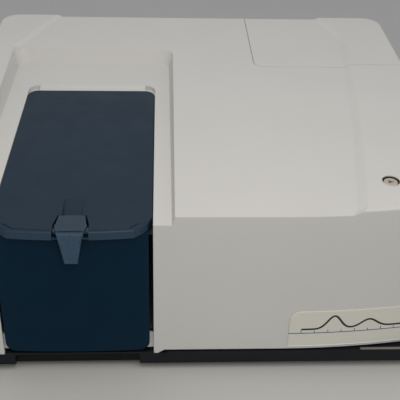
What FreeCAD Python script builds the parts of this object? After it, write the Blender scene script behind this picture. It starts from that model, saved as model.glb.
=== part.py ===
import FreeCAD, Part
import math
import os

# Bench UV-vis spectrophotometer, millimetres, front towards -Y, +Z up.
# Origin: middle of the overall box at the surface it stands on.

# Overall body
body_width = 486.0
overall_depth = 441.0
latch_reach = 14.0
foot_height = 8.0
wall = 3.0
touch_gap = 0.3
running_gap = 0.05
front_y = latch_reach - overall_depth / 2
rear_y = overall_depth / 2
half_width = body_width / 2

# Main cover
cover_bottom_z = 24.6
top_front_z = 174.5
top_slope = 0.09
shoulder_rise = 4.7
shoulder_slope = 0.086
top_edge_radius = 2.0
front_corner_radius = 30.0
rear_corner_radius = 22.0
bow_start_x = 74.5
bow_radius = 814.0
post_tab_drop = 4.0
post_tab_width = 10.0
post_tab_flat = 4.0

# Sloping band between the middle of the top and the raised shoulders
band_slope = 0.5
band_flare = 5.0
band_flare_length = 8.0
band_front_x = half_width - 112.0
band_middle = (half_width - 84.5, front_y + 170.5)
band_rear = (half_width - 65.0, rear_y - 90.5)
band_turn = (half_width - 62.7, rear_y - 68.5)
band_turn_end = (half_width - 67.5, rear_y - 50.5)
band_back_right_x = half_width - 87.0
band_back_left_x = 81.0 - half_width

# Sample lid
lid_inset = 54.0
lid_width = 140.6
lid_length = 255.3
lid_gap = 0.5
lid_thickness = 3.0
lid_skirt = 8.0
lid_lip_reach = 10.0
lid_lip_bow = 3.0
lid_nose_cut = (12.0, 10.5)
lid_nose_turn = (4.0, 9.5)
lid_back_corner = 11.0
lid_edge_radius = 1.2
lip_groove_inset = 2.6
lip_groove_width = 1.6
lip_groove_depth = 0.8
lid_left_x = lid_inset - half_width
lid_right_x = lid_left_x + lid_width
lid_back_y = front_y + lid_length
lid_middle_x = (lid_left_x + lid_right_x) / 2

# Sunk rim round the sample lid
rim_front_z = 166.0
rim_slope = 0.067
rim_left_width = 21.1
rim_right_width = 17.0
rim_back_width = 72.9
recess_corner_radius = 14.0
recess_draft = 0.27
recess_left_x = lid_left_x - rim_left_width
recess_right_x = lid_right_x + rim_right_width
recess_back_y = lid_back_y + rim_back_width

# Lid hinge
hinge_inset = 10.0
hinge_depth = 7.0
hinge_side_offset = 24.0
hinge_pin_radius = 1.5
knuckle_radius = 3.2
knuckle_width = 5.0
hinge_ear_radius = 3.2
hinge_bracket_plate = 22.0
hinge_bracket_thickness = 2.0
ear_thickness = 2.0
hinge_y = lid_back_y - hinge_inset

# Ledge behind the lid, clear of its back edge as it swings
hinge_swing_gap = 3.0
strip_width = 9.8
strip_drop = 5.0
strip_end_inset = 11.0
opening_corner_radius = 12.0
opening_wall_length = 8.0

# Latch lever
latch_half_width = 11.3
latch_ear_half = 14.0
latch_notch_half = 15.6
latch_plate_length = 14.5
latch_side_gap = 1.2
latch_back_gap = 1.6
latch_plate_thickness = 2.5
latch_pivot_depth = 5.3
latch_pin_radius = 1.5
latch_boss_radius = 3.0
latch_drop = 31.0
latch_tip_half = 5.8
latch_tongue_thickness = 3.4
latch_block_length = 44.0
latch_block_wall = 2.0
latch_channel_half = 9.0
latch_channel_length = 41.0
latch_channel_depth = 6.0
pocket_depth = 8.8
pocket_floor = 1.5
catch_leg_y = front_y + 8.0
catch_leg_thickness = 2.5
catch_leg_depth = 18.0
catch_leg_half = 7.0
catch_plate_thickness = 1.5
catch_plate_height = 8.0
spring_wire = 0.8
spring_length = 10.0

# Front panel
panel_left_x = lid_left_x + 1.7
panel_right_x = lid_right_x - 3.4
panel_thickness = 4.2
panel_bow = 1.5
panel_corner = 10.0
panel_top_gap = 0.8
sill_top_z = 42.0
sill_thickness = 3.0

# Base
base_top_z = 22.0
base_side_inset = 4.0
base_corner_radius = 18.0
base_floor = 3.0
spigot_height = 12.0
finger_recess_depth = 4.0
finger_recess_left_x = lid_left_x + 9.0
finger_recess_right_x = lid_right_x - 12.9
foot_radius = 12.0
foot_bore_radius = 2.5

# Lamp cover seam
seam_x = half_width - 175.5
seam_y = rear_y - 139.0
seam_bottom_z = 90.0
seam_radius = 12.0
seam_gap = 0.5
seam_flange = 6.0
seam_flange_thickness = 2.0

# Start button on the right shoulder
button_x = half_width - 72.6
button_y = front_y + 48.3
button_radius = 6.6
button_travel = 1.5
button_sink = 1.2
button_cap_depth = 4.0
button_stem_radius = 2.5
ring_radius = 9.4
ring_proud = 0.3
ring_bore_radius = 8.2
ring_well_depth = 2.6
ring_tube_wall = 0.8
ring_collar_length = 3.0
switch_height = 5.0
switch_room = 2.0
switch_size = 12.0
switch_board_thickness = 1.6
switch_board_length = 40.0
switch_board_width = 18.0
switch_post_radius = 3.0

# Screws through the casing's sides
screw_places = (front_y + 76.5, rear_y - 160.5)
screw_radius = 1.6
screw_head_radius = 3.4
screw_head_depth = 1.8
screw_length = 6.0

# Optical bench and beam
bench_bottom_z = 30.0
bench_top_z = 38.0
bench_left_x = 11.0 - half_width
bench_right_x = half_width - 17.0
bench_front_y = front_y + 16.5
bench_rear_y = rear_y - 22.5
bench_rib = 6.0
bench_corner_radius = 26.0
bench_rib_depth = 8.0
mount_radius = 10.0
mount_bore_radius = 2.5
beam_z = 100.0
sample_beam_y = front_y + 95.5
reference_beam_y = sample_beam_y + 80.0
beam_hole_radius = 8.0

# Sample chamber
chamber_inset = 5.0
chamber_back_inset = 16.0
chamber_left_x = lid_left_x + chamber_inset
chamber_right_x = lid_right_x - chamber_inset
chamber_front_y = front_y + 20.5
chamber_back_y = lid_back_y - chamber_back_inset
chamber_wall = 3.0
chamber_floor = 4.0
chamber_corner = 6.0
chamber_top_drop = 5.3
seal_thickness = 1.8
window_thickness = 2.0
plate_thickness = 5.0
plate_width = 112.0
plate_length = 190.0
plate_screw_reach = 80.0
thumbscrew_shank_radius = 3.0
thumbscrew_head_radius = 7.0
thumbscrew_height = 9.0
thumbscrew_grooves = 12
holder_half_width = 20.0
holder_foot_half = 30.0
holder_end = 20.0
well_size = 12.7
well_depth = 36.0
holder_bottom_z = 76.0
holder_top_z = 122.0
aperture_radius = 4.0

# Light source
lamp_house_width = 116.0
lamp_house_depth = 89.0
lamp_house_right_x = half_width - 29.0
lamp_house_left_x = lamp_house_right_x - lamp_house_width
lamp_house_rear_y = rear_y - 26.5
lamp_house_front_y = lamp_house_rear_y - lamp_house_depth
lamp_house_top_z = 150.0
sheet = 1.5
deuterium_place = (lamp_house_right_x - 32.0, lamp_house_rear_y - 29.0)
deuterium_radius = 15.0
deuterium_seat_z = 66.0
deuterium_shoulder_z = 118.0
halogen_place = (lamp_house_left_x + 26.0, lamp_house_rear_y - 27.0)
halogen_radius = 6.0
halogen_seat_z = 86.0
halogen_shoulder_z = 104.0
source_mirror_place = (lamp_house_left_x + 54.0, lamp_house_front_y + 26.0)
source_mirror_radius = 16.0
motor_shaft_radius = 2.5
motor_size = 28.0
motor_height = 22.0

# Monochromator
slit_wall_y = lamp_house_front_y - 39.0
slit_wall_thickness = 2.5
slit_half_width = 16.0
entrance_x = source_mirror_place[0]
exit_x = entrance_x - 104.0
filter_wheel_radius = 30.0
filter_circle_radius = 20.0
filter_radius = 7.0
filter_count = 6
filter_wheel_y = slit_wall_y + 18.0
filter_wheel_thickness = 3.0
filter_shaft_length = 14.0
mirror_radius = 30.0
mirror_thickness = 12.0
mirror_y = front_y + 38.5
mirror_curve_radius = 300.0
grating_place = (entrance_x - 52.0, slit_wall_y - 66.0)
grating_table_radius = 25.0
grating_shaft_radius = 4.0
grating_size = 30.0
grating_thickness = 8.0
grating_motor_size = 42.0
fold_x = (chamber_right_x + exit_x) / 2
fold_y = slit_wall_y + 26.0
fold_mirror_size = 26.0

# Detectors
detector_width = 24.0
detector_left_x = bench_left_x + 2.0
detector_right_x = detector_left_x + detector_width
detector_half_depth = 17.0
detector_top_z = 124.0
lens_radius = 7.0
lens_curve_radius = 14.0
lens_thickness = 6.0

# Rear panel and electrics
rear_panel_thickness = 2.0
rear_window_half = half_width - 31.0
rear_window_top_z = 196.0
rear_window_radius = 12.0
rear_panel_half = half_width - 23.0
rear_panel_bottom_z = 12.0
rear_panel_top_z = 204.0
supply_width = 152.0
supply_depth = 98.0
supply_left_x = 21.0 - half_width
supply_right_x = supply_left_x + supply_width
supply_rear_y = rear_y - 42.5
supply_front_y = supply_rear_y - supply_depth
supply_top_z = 96.0
supply_fin_count = 10
board_z = 112.0
board_thickness = 1.6
board_overhang = 18.0
socket_z = 66.0
inlet_x = 93.0 - half_width
inlet_half_width = 13.7
inlet_half_height = 16.7
inlet_depth = 26.0
inlet_flange = 3.3
fuse_half_width = 11.0
fuse_low = 14.0
fuse_high = 6.0
fuse_depth = 20.0
rocker_x = inlet_x - 46.0
rocker_pivot_inset = 11.0
rocker_tilt = 8.0
rocker_half_height = 9.0
rocker_half_width = 6.5
rocker_case_half_width = 8.7
rocker_case_half_height = 12.7
rocker_case_depth = 22.0
rocker_trunnion_half = 8.0
rocker_trunnion_radius = 1.5
usb_x = inlet_x + 90.0
usb_half_width = 6.0
usb_half_height = 5.5
usb_depth = 17.0
fan_x = half_width - 87.0
fan_z = 118.0
fan_size = 60.0
fan_depth = 15.0
fan_blades = 7
fan_hub_radius = 12.0
fan_shaft_radius = 1.5
guard_wire_radius = 0.9
vent_middle_x = 20.0
vent_bottom_z = 110.0
vent_top_z = 160.0
vent_slot_count = 9
vent_slot_pitch = 8.0

X = FreeCAD.Vector(1, 0, 0)
Y = FreeCAD.Vector(0, 1, 0)
Z = FreeCAD.Vector(0, 0, 1)
far = 600.0


def vec(x, y, z):
    return FreeCAD.Vector(x, y, z)


def rim_z(y):
    """Height of the sunk rim at a depth y."""
    return rim_front_z + rim_slope * (y - front_y)


def top_z(y):
    """Height of the middle of the top at a depth y."""
    return top_front_z + top_slope * (y - front_y)


def shoulder_z(y):
    """Height of the raised shoulders at a depth y."""
    return top_front_z + shoulder_rise + shoulder_slope * (y - front_y)


def box(x0, x1, y0, y1, z0, z1):
    return Part.makeBox(x1 - x0, y1 - y0, z1 - z0, vec(x0, y0, z0))


def rod(radius, start, end):
    axis = end - start
    return Part.makeCylinder(radius, axis.Length, start, axis)


def tube(outer, inner, start, end):
    return rod(outer, start, end).cut(rod(inner, start, end))


def prism_x(points, x0, x1):
    """An outline of (y, z) points carried from x0 to x1."""
    wire = Part.makePolygon([vec(x0, y, z) for y, z in points + points[:1]])
    return Part.Face(wire).extrude(vec(x1 - x0, 0, 0))


def prism_y(points, y0, y1):
    """An outline of (x, z) points carried from y0 to y1."""
    wire = Part.makePolygon([vec(x, y0, z) for x, z in points + points[:1]])
    return Part.Face(wire).extrude(vec(0, y1 - y0, 0))


def prism_z(points, z0, z1):
    """An outline of (x, y) points carried from z0 to z1."""
    wire = Part.makePolygon([vec(x, y, z0) for x, y in points + points[:1]])
    return Part.Face(wire).extrude(vec(0, 0, z1 - z0))


def above(plane, lift):
    """Everything above a sloping plane."""
    low, high = -far, far
    outline = [(low, plane(low) + lift), (high, plane(high) + lift), (high, far), (low, far)]
    return prism_x(outline, -far, far)


def between(plane, low, high):
    """The slab between two lifts of a sloping plane."""
    return above(plane, low).cut(above(plane, high))


def fillet_along(shape, axis, radius, keep):
    """Round the straight edges along one axis that pass the keep test at their middle."""
    edges = []
    for edge in shape.Edges:
        if len(edge.Vertexes) < 2:
            continue
        start, end = edge.Vertexes[0].Point, edge.Vertexes[1].Point
        run = end - start
        if run.Length > 0.01 and abs(run.dot(axis)) > 0.999 * run.Length and keep((start + end) / 2):
            edges.append(edge)
    return shape.makeFillet(radius, edges)


def rounded_box(x0, x1, y0, y1, z0, z1, axis, radius):
    return fillet_along(box(x0, x1, y0, y1, z0, z1), axis, radius, lambda p: True)


def group(shapes):
    return Part.makeCompound(shapes)


def joined(shapes):
    body = shapes[0]
    for shape in shapes[1:]:
        body = body.fuse(shape)
    return body.removeSplitter()


def tilt(shape, plane_slope, pivot):
    """Turn a shape about the X direction so that its Z axis stands square to a sloping plane."""
    turned = shape.copy()
    turned.rotate(pivot, X, math.degrees(math.atan(plane_slope)))
    return turned


def body_block(inset, z0, z1):
    """The casing's plan, with its bowed right front, set in by an inset."""
    left, right = inset - half_width, half_width - inset
    front, rear = front_y + inset, rear_y - inset
    radius = bow_radius - inset
    bow_centre_y = front_y + bow_radius

    def bow(x):
        return vec(x, bow_centre_y - math.sqrt(radius ** 2 - (x - bow_start_x) ** 2), z0)

    start, end = vec(bow_start_x, front, z0), bow(right)
    arc = Part.Arc(start, bow((bow_start_x + right) / 2), end).toShape()
    corners = [end, vec(right, rear, z0), vec(left, rear, z0), vec(left, front, z0), start]
    lines = [Part.makeLine(a, b) for a, b in zip(corners, corners[1:])]
    block = Part.Face(Part.Wire([arc] + lines)).extrude(vec(0, 0, z1 - z0))
    edge_x = half_width - inset - 1
    block = fillet_along(block, Z, front_corner_radius - inset, lambda p: abs(p.x) > edge_x and p.y < 0)
    return fillet_along(block, Z, rear_corner_radius - inset, lambda p: abs(p.x) > edge_x and p.y > 0)


def base_block(z0, z1):
    side = half_width - base_side_inset
    rear = rear_y - wall - rear_panel_thickness
    return rounded_box(-side, side, front_y, rear, z0, z1, Z, base_corner_radius)


def sloped_wire(runs, plane, lift):
    """A closed wire of straight and three-point arc runs over (x, y) points on a sloping plane."""
    edges = []
    for run in runs:
        points = [vec(x, y, plane(y) + lift) for x, y in run]
        if len(points) == 2:
            edges.append(Part.makeLine(points[0], points[1]))
        else:
            edges.append(Part.Arc(points[0], points[1], points[2]).toShape())
    return Part.Wire(edges)


def middle_field(grow, drop):
    """What is taken off between the shoulders, with sloping side bands that flare at the front."""
    before, after = front_y - 10, rear_y + 14
    rise = 2 * shoulder_rise

    def runs(spread):
        flare = [(band_front_x - band_flare + spread, before), (band_front_x - band_flare + spread, front_y)]
        right = [(band_front_x + spread, front_y + band_flare_length)]
        right += [(x + spread, y) for x, y in (band_middle, band_rear)]
        turn = [right[2]] + [(x + spread, y) for x, y in (band_turn, band_turn_end)]
        back_right, back_left = (band_back_right_x + spread, after), (band_back_left_x - spread, after)
        corner = (recess_left_x - 2.4 - spread, recess_back_y + 1.8)
        inner_back, inner_front = (lid_middle_x, recess_back_y - 20), (lid_middle_x, before)
        return [flare, [flare[1], right[0]], right, turn, [turn[2], back_right], [back_right, back_left],
                [back_left, corner], [corner, inner_back], [inner_back, inner_front], [inner_front, flare[0]]]

    low = sloped_wire(runs(grow), top_z, -drop)
    high = sloped_wire(runs(grow + (rise + drop) / band_slope), top_z, rise)
    return Part.makeLoft([low, high], True, True)


def recess(grow, drop):
    """The sunk rim's hollow, with drafted walls and round back corners."""
    rise = 45.0
    lean = recess_draft * (rise + drop)

    def runs(spread):
        x0, x1 = recess_left_x - grow - spread, recess_right_x + grow + spread
        y0, y1 = front_y - 20, recess_back_y + grow + spread
        r = recess_corner_radius
        bend = r * (1 - math.sqrt(0.5))
        left_arc = [(x0, y1 - r), (x0 + bend, y1 - bend), (x0 + r, y1)]
        right_arc = [(x1 - r, y1), (x1 - bend, y1 - bend), (x1, y1 - r)]
        return [[(x0, y0), left_arc[0]], left_arc, [left_arc[2], right_arc[0]], right_arc,
                [right_arc[2], (x1, y0)], [(x1, y0), (x0, y0)]]

    low = sloped_wire(runs(0), rim_z, -drop)
    high = sloped_wire(runs(lean), rim_z, rise)
    return Part.makeLoft([low, high], True, True)


def cover_skin():
    """The casing's outer form before the lamp cover is parted from it."""
    skin = body_block(0, cover_bottom_z, top_z(rear_y) + 40)
    skin = skin.cut(above(shoulder_z, 0))
    top_edges = [e for e in skin.Edges if all(abs(v.Z - shoulder_z(v.Y)) < 0.01 for v in e.Vertexes)]
    skin = skin.makeFillet(top_edge_radius, top_edges)
    skin = skin.cut(middle_field(0, 0)).cut(recess(0, 0))
    cavity = body_block(wall, 0, top_z(rear_y) + 40).cut(above(shoulder_z, -wall))
    cavity = cavity.cut(middle_field(wall / 4, wall)).cut(recess(wall, wall))
    skin = skin.cut(cavity)
    window = rounded_box(-rear_window_half, rear_window_half, rear_y - 2 * wall, rear_y + 1,
                         cover_bottom_z - 30, rear_window_top_z, Y, rear_window_radius)
    return skin.cut(window)


def seam_region(grow):
    """The corner of the casing that the lamp cover takes."""
    region = box(seam_x - grow, far, seam_y - grow, far, seam_bottom_z - grow, far)
    corner = seam_radius + grow
    return fillet_along(region, Z, corner, lambda p: abs(p.x - seam_x + grow) < 1 and abs(p.y - seam_y + grow) < 1)


def lid_opening(grow, z0, z1):
    """The compartment's opening through the casing, with round back corners."""
    left, right = lid_left_x - lid_gap - grow, lid_right_x + lid_gap + grow
    back = lid_back_y + hinge_swing_gap + strip_width + grow
    hole = box(left, right, front_y - 5, back, z0, z1)
    return fillet_along(hole, Z, opening_corner_radius + grow, lambda p: p.y > back - 1)


def hinge_ledge():
    """The floor and wall behind the lid, and the slope between their two corners."""
    front, back = lid_back_y + hinge_swing_gap, lid_back_y + hinge_swing_gap + strip_width
    left, right = lid_left_x - lid_gap + strip_end_inset, lid_right_x + lid_gap - strip_end_inset
    behind = box(-far, far, lid_back_y - opening_wall_length, far, 0, far)
    border = lid_opening(wall, 0, far).cut(lid_opening(0, 0, far)).common(between(rim_z, -strip_drop - wall, 0))
    floor = lid_opening(0, 0, far).cut(lid_outline(-hinge_swing_gap, 0, far))
    floor = floor.common(between(rim_z, -strip_drop - wall, -strip_drop))
    slope = prism_x([(front, rim_z(front) - strip_drop), (back, rim_z(back)), (back, rim_z(back) - strip_drop)],
                    left, right)
    return [border.common(behind), floor.common(behind), slope]


def post_tab(edge_x, side):
    """The pointed end of a post beside the compartment, below the casing's lower edge."""
    outer = edge_x + side * post_tab_width
    low = cover_bottom_z - post_tab_drop
    points = [(edge_x, cover_bottom_z), (edge_x, low), (edge_x + side * post_tab_flat, low), (outer, cover_bottom_z)]
    return prism_y(points, front_y, front_y + wall)


def main_cover():
    cover = cover_skin()
    left, right = lid_left_x - lid_gap, lid_right_x + lid_gap
    cover = cover.cut(lid_opening(0, cover_bottom_z - 1, far))
    sill = box(left, right, front_y + panel_thickness, front_y + panel_thickness + sill_thickness,
               cover_bottom_z, sill_top_z)
    ends = [box(left - wall, left, front_y + wall / 2, front_y + panel_thickness + sill_thickness,
                cover_bottom_z, sill_top_z),
            box(right, right + wall, front_y + wall / 2, front_y + panel_thickness + sill_thickness,
                cover_bottom_z, sill_top_z)]
    tabs = [post_tab(left, -1), post_tab(right, 1)]
    cover = cover.cut(seam_region(0))
    flange = seam_region(seam_flange).cut(seam_region(-seam_flange))
    flange = flange.common(between(top_z, -wall - seam_flange_thickness, -wall))
    flange = flange.common(body_block(wall, 0, far))
    reach = vec(0, 0, 3 * ring_well_depth)
    hole = button_stack(rod(ring_tube_radius(), button_seat() - reach, button_seat() + reach))
    cover = joined([cover, sill] + hinge_ledge() + ends + tabs + [flange])
    cover = cover.cut(hole).cut(cover_screws())
    return cover.fuse(switch_posts()).removeSplitter()


def lamp_cover():
    return cover_skin().common(seam_region(-seam_gap))


def button_seat():
    return vec(button_x, button_y, shoulder_z(button_y))


def button_stack(shapes):
    """Turn shapes built upright over the button's place to stand square to the shoulder."""
    return tilt(shapes, shoulder_slope, button_seat())


def switch_board_top_z():
    """Height of the small board below the button, before the stack is tilted."""
    return button_seat().z - wall - ring_collar_length - button_travel - switch_height - switch_room


def switch_posts():
    """Two moulded posts below the shoulder that carry the switch board."""
    low = switch_board_top_z() + touch_gap
    high = button_seat().z - wall + 1.5
    reach = switch_board_length / 2 - 4
    places = (button_y - reach, button_y + reach)
    posts = [rod(switch_post_radius, vec(button_x, y, low), vec(button_x, y, high)) for y in places]
    return button_stack(group(posts)).Solids


def start_button():
    seat = button_seat()
    cap_high = seat.z - button_sink
    cap_low = cap_high - button_cap_depth
    cap = rod(button_radius, vec(seat.x, seat.y, cap_low), vec(seat.x, seat.y, cap_high))
    cap = cap.makeFillet(0.8, [e for e in cap.Edges if e.BoundBox.ZMin > cap_high - 0.01])
    stem_low = switch_board_top_z() + switch_height + button_travel + 2 * touch_gap
    stem = rod(button_stem_radius, vec(seat.x, seat.y, stem_low), vec(seat.x, seat.y, cap_low + 0.5))
    return button_stack(joined([cap, stem]))


def ring_tube_radius():
    return ring_bore_radius + ring_tube_wall


def button_ring():
    """A ring set into the shoulder: a shallow well with a narrower guide for the cap below it."""
    seat = button_seat()
    step = seat - vec(0, 0, ring_well_depth)
    flange = tube(ring_radius, ring_bore_radius, seat, seat + vec(0, 0, ring_proud))
    well = tube(ring_tube_radius(), ring_bore_radius, step, seat)
    guide = tube(ring_tube_radius(), button_radius + touch_gap, seat - vec(0, 0, ring_collar_length + wall), step)
    return button_stack(joined([flange, well, guide]))


def button_switch():
    low = switch_board_top_z()
    half = switch_size / 2
    case = box(button_x - half, button_x + half, button_y - half, button_y + half, low, low + switch_height)
    plunger = rod(2.0, vec(button_x, button_y, low + switch_height),
                  vec(button_x, button_y, low + switch_height + touch_gap))
    return button_stack(joined([case, plunger]))


def switch_board():
    low = switch_board_top_z() - switch_board_thickness
    length = switch_board_length / 2
    half = switch_board_width / 2
    board = box(button_x - half, button_x + half, button_y - length, button_y + length, low, switch_board_top_z())
    return button_stack(board)


def front_panel():
    """A gently bowed panel with round lower corners."""
    back = front_y + panel_thickness
    edge = front_y + 0.8
    middle = (panel_left_x + panel_right_x) / 2
    low, high = cover_bottom_z, rim_z(front_y) - lid_thickness - panel_top_gap
    bow = Part.Arc(vec(panel_left_x, edge, low), vec(middle, front_y - panel_bow, low),
                   vec(panel_right_x, edge, low)).toShape()
    corners = [vec(panel_right_x, edge, low), vec(panel_right_x, back, low), vec(panel_left_x, back, low),
               vec(panel_left_x, edge, low)]
    lines = [Part.makeLine(a, b) for a, b in zip(corners, corners[1:])]
    panel = Part.Face(Part.Wire([bow] + lines)).extrude(vec(0, 0, high - low))
    panel = fillet_along(panel, Y, panel_corner, lambda p: p.z < low + 1)
    under_skirt = box(-far, far, front_y - 5, back + 1, rim_z(front_y) - lid_skirt - touch_gap, far)
    panel = panel.cut(under_skirt.cut(lid_outline(lid_thickness + touch_gap, 0, far + 1)))
    return panel.cut(latch_clearance(front_y - 5))


def lid_outline(inset, z0, z1):
    """The lid's plan: a bowed lip, oblique front corners and round back corners."""
    x0, x1 = lid_left_x + inset, lid_right_x - inset
    back, tip = lid_back_y - inset, front_y - lid_lip_reach + inset
    start = tip + lid_lip_bow
    knee = start + lid_nose_cut[1]
    end = knee + lid_nose_turn[1]
    turn, reach = lid_nose_turn[0], lid_nose_turn[0] + lid_nose_cut[0]
    r = lid_back_corner - inset
    bend = r * (1 - math.sqrt(0.5))

    def at(x, y):
        return vec(x, y, z0)

    left = [at(x0, back - r), at(x0, end), at(x0 + turn, knee), at(x0 + reach, start)]
    right = [at(x1 - reach, start), at(x1 - turn, knee), at(x1, end), at(x1, back - r)]
    runs = [Part.makeLine(a, b) for a, b in zip(left, left[1:])]
    runs.append(Part.Arc(left[3], at((x0 + x1) / 2, tip), right[0]).toShape())
    runs += [Part.makeLine(a, b) for a, b in zip(right, right[1:])]
    runs.append(Part.Arc(right[3], at(x1 - bend, back - bend), at(x1 - r, back)).toShape())
    runs.append(Part.makeLine(at(x1 - r, back), at(x0 + r, back)))
    runs.append(Part.Arc(at(x0 + r, back), at(x0 + bend, back - bend), left[0]).toShape())
    return Part.Face(Part.Wire(runs)).extrude(vec(0, 0, z1 - z0))


def lip_groove():
    """A fine groove that follows the lid's front edge."""
    ring = lid_outline(lip_groove_inset, 0, far).cut(lid_outline(lip_groove_inset + lip_groove_width, -1, far + 1))
    end_y = front_y - lid_lip_reach + lid_lip_bow + lid_nose_cut[1]
    return ring.common(box(-far, far, -far, end_y, 0, far)).common(above(rim_z, -lip_groove_depth))


def knuckle_places():
    """Middle of each hinge knuckle across the lid."""
    return [lid_left_x + hinge_side_offset, lid_right_x - hinge_side_offset]


def hinge_axis_z():
    return rim_z(hinge_y) - hinge_depth


def hinge_knuckle(x):
    """A knuckle hung below the lid."""
    z = hinge_axis_z()
    x0, x1 = x - knuckle_width / 2, x + knuckle_width / 2
    neck = box(x0, x1, hinge_y - knuckle_radius, hinge_y + knuckle_radius, z, rim_z(hinge_y) - lid_thickness / 2)
    knuckle = neck.fuse(rod(knuckle_radius, vec(x0, hinge_y, z), vec(x1, hinge_y, z)))
    return knuckle.cut(rod(hinge_pin_radius + running_gap, vec(x0 - 1, hinge_y, z), vec(x1 + 1, hinge_y, z)))


def latch_pivot():
    return vec(lid_middle_x, front_y, rim_z(front_y) - latch_pivot_depth)


def sample_lid():
    top = rim_z
    outer = lid_outline(0, 0, far).common(between(top, -lid_skirt, 0))
    top_edges = [e for e in outer.Edges if all(abs(v.Z - top(v.Y)) < 0.01 for v in e.Vertexes)]
    outer = outer.makeFillet(lid_edge_radius, top_edges).cut(lip_groove())
    hollow = lid_outline(lid_thickness, 0, far).cut(above(top, -lid_thickness))
    lid = outer.cut(hollow)
    half = latch_notch_half + latch_block_wall
    deep = pocket_depth + pocket_floor
    block_front, block_back = front_y - 5.5, front_y + latch_block_length
    bend_y = front_y + latch_plate_length + 4
    block = prism_x([(block_front, top(block_front) - 1), (block_back, top(block_back) - 1),
                     (block_back, top(block_back) - lid_thickness), (bend_y, top(bend_y) - deep),
                     (block_front, top(block_front) - deep)], lid_middle_x - half, lid_middle_x + half)
    lid = lid.fuse(block)
    pocket_back = front_y + latch_plate_length + latch_back_gap
    narrow, wide = latch_half_width + latch_side_gap, latch_notch_half
    plan = [(-narrow, pocket_back), (narrow, pocket_back), (wide, front_y + 2), (wide, front_y - 25),
            (-wide, front_y - 25), (-wide, front_y + 2)]
    pocket = prism_z([(lid_middle_x + x, y) for x, y in plan], 0, far).common(above(top, -pocket_depth))
    lip_notch = box(lid_middle_x - latch_notch_half, lid_middle_x + latch_notch_half,
                    front_y - 25, front_y - 5.6, 0, far)
    channel_back = front_y + latch_channel_length
    channel = prism_x([(pocket_back - 1, top(pocket_back) - latch_channel_depth), (channel_back, top(channel_back)),
                       (channel_back, far), (pocket_back - 1, far)],
                      lid_middle_x - latch_channel_half, lid_middle_x + latch_channel_half)
    leg_slot = box(lid_middle_x - catch_leg_half - 2, lid_middle_x + catch_leg_half + 2,
                   catch_leg_y - 4, catch_leg_y + 5, 0, far)
    pivot = latch_pivot()
    pin_hole = rod(latch_pin_radius, pivot - vec(half + 1, 0, 0), pivot + vec(half + 1, 0, 0))
    lid = lid.cut(pocket).cut(lip_notch).cut(channel).cut(leg_slot).cut(pin_hole)
    return joined([lid] + [hinge_knuckle(x) for x in knuckle_places()])


def lid_latch():
    """One lever: thumb plate, groove and hanging tongue, turning on ears at the lid's front edge."""
    pivot = latch_pivot()
    mid = lid_middle_x
    top = rim_z
    back = front_y + latch_plate_length
    plan = [(mid - latch_half_width, back), (mid + latch_half_width, back), (mid + latch_ear_half - 1, front_y + 2),
            (mid + latch_ear_half, front_y), (mid + latch_ear_half - 1.8, front_y - 7.0),
            (mid - latch_ear_half + 1.8, front_y - 7.0), (mid - latch_ear_half, front_y),
            (mid - latch_ear_half + 1, front_y + 2)]
    plate = prism_z(plan, 0, far).common(between(top, -latch_plate_thickness, 0.3))
    nose_z = top(front_y)
    tongue_back = front_y - latch_reach + latch_tongue_thickness
    nose = prism_x([(front_y - 4.0, nose_z - 2.0), (front_y - 7.0, nose_z - 3.0), (tongue_back, nose_z - 3.2),
                    (tongue_back, nose_z - 6.0), (front_y - 4.0, nose_z - 5.0)],
                   mid - latch_half_width, mid + latch_half_width)
    low = nose_z - latch_drop
    tongue = prism_y([(mid - latch_half_width, nose_z), (mid + latch_half_width, nose_z),
                      (mid + latch_tip_half, low), (mid - latch_tip_half, low)],
                     front_y - latch_reach, tongue_back)
    tongue = tongue.makeFillet(1.2, [e for e in tongue.Edges if e.BoundBox.YMax < front_y - latch_reach + 0.1])
    boss_end = latch_notch_half - touch_gap
    bosses = [rod(latch_boss_radius, pivot + vec(side * 7, 0, 0), pivot + vec(side * boss_end, 0, 0))
              for side in (-1, 1)]
    leg = box(mid - catch_leg_half, mid + catch_leg_half, catch_leg_y, catch_leg_y + catch_leg_thickness,
              nose_z - catch_leg_depth, top(catch_leg_y) - 1.0)
    lever = joined([plate, nose, tongue, leg] + bosses)
    return lever.cut(rod(latch_pin_radius + running_gap, pivot - vec(30, 0, 0), pivot + vec(30, 0, 0)))


def latch_pin():
    pivot = latch_pivot()
    half = latch_notch_half + latch_block_wall
    return rod(latch_pin_radius, pivot - vec(half, 0, 0), pivot + vec(half, 0, 0))


def latch_spring():
    """A torsion spring wound on the pin between the lever's bosses."""
    pivot = latch_pivot()
    coil_radius = latch_pin_radius + 0.3 + spring_wire / 2
    helix = Part.makeHelix(spring_length / 4, spring_length - spring_wire, coil_radius)
    circle = Part.Wire(Part.makeCircle(spring_wire / 2, vec(coil_radius, 0, 0), Y))
    coil = helix.makePipeShell([circle], True, True)
    coil.rotate(vec(0, 0, 0), Y, 90)
    coil.translate(pivot - vec((spring_length - spring_wire) / 2, 0, 0))
    return coil


def catch_plate():
    """Steel plate on the back of the lever's leg."""
    nose_z = rim_z(front_y)
    low = nose_z - catch_leg_depth
    start = catch_leg_y + catch_leg_thickness
    return box(lid_middle_x - catch_leg_half + 1, lid_middle_x + catch_leg_half - 1,
               start, start + catch_plate_thickness, low, low + catch_plate_height)


def catch_magnet():
    """Magnet in its holder on the front wall of the chamber."""
    nose_z = rim_z(front_y)
    low = nose_z - catch_leg_depth - 1
    start = catch_leg_y + catch_leg_thickness + catch_plate_thickness + touch_gap
    return box(lid_middle_x - 9, lid_middle_x + 9, start, chamber_front_y, low, low + catch_plate_height + 1)


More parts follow.
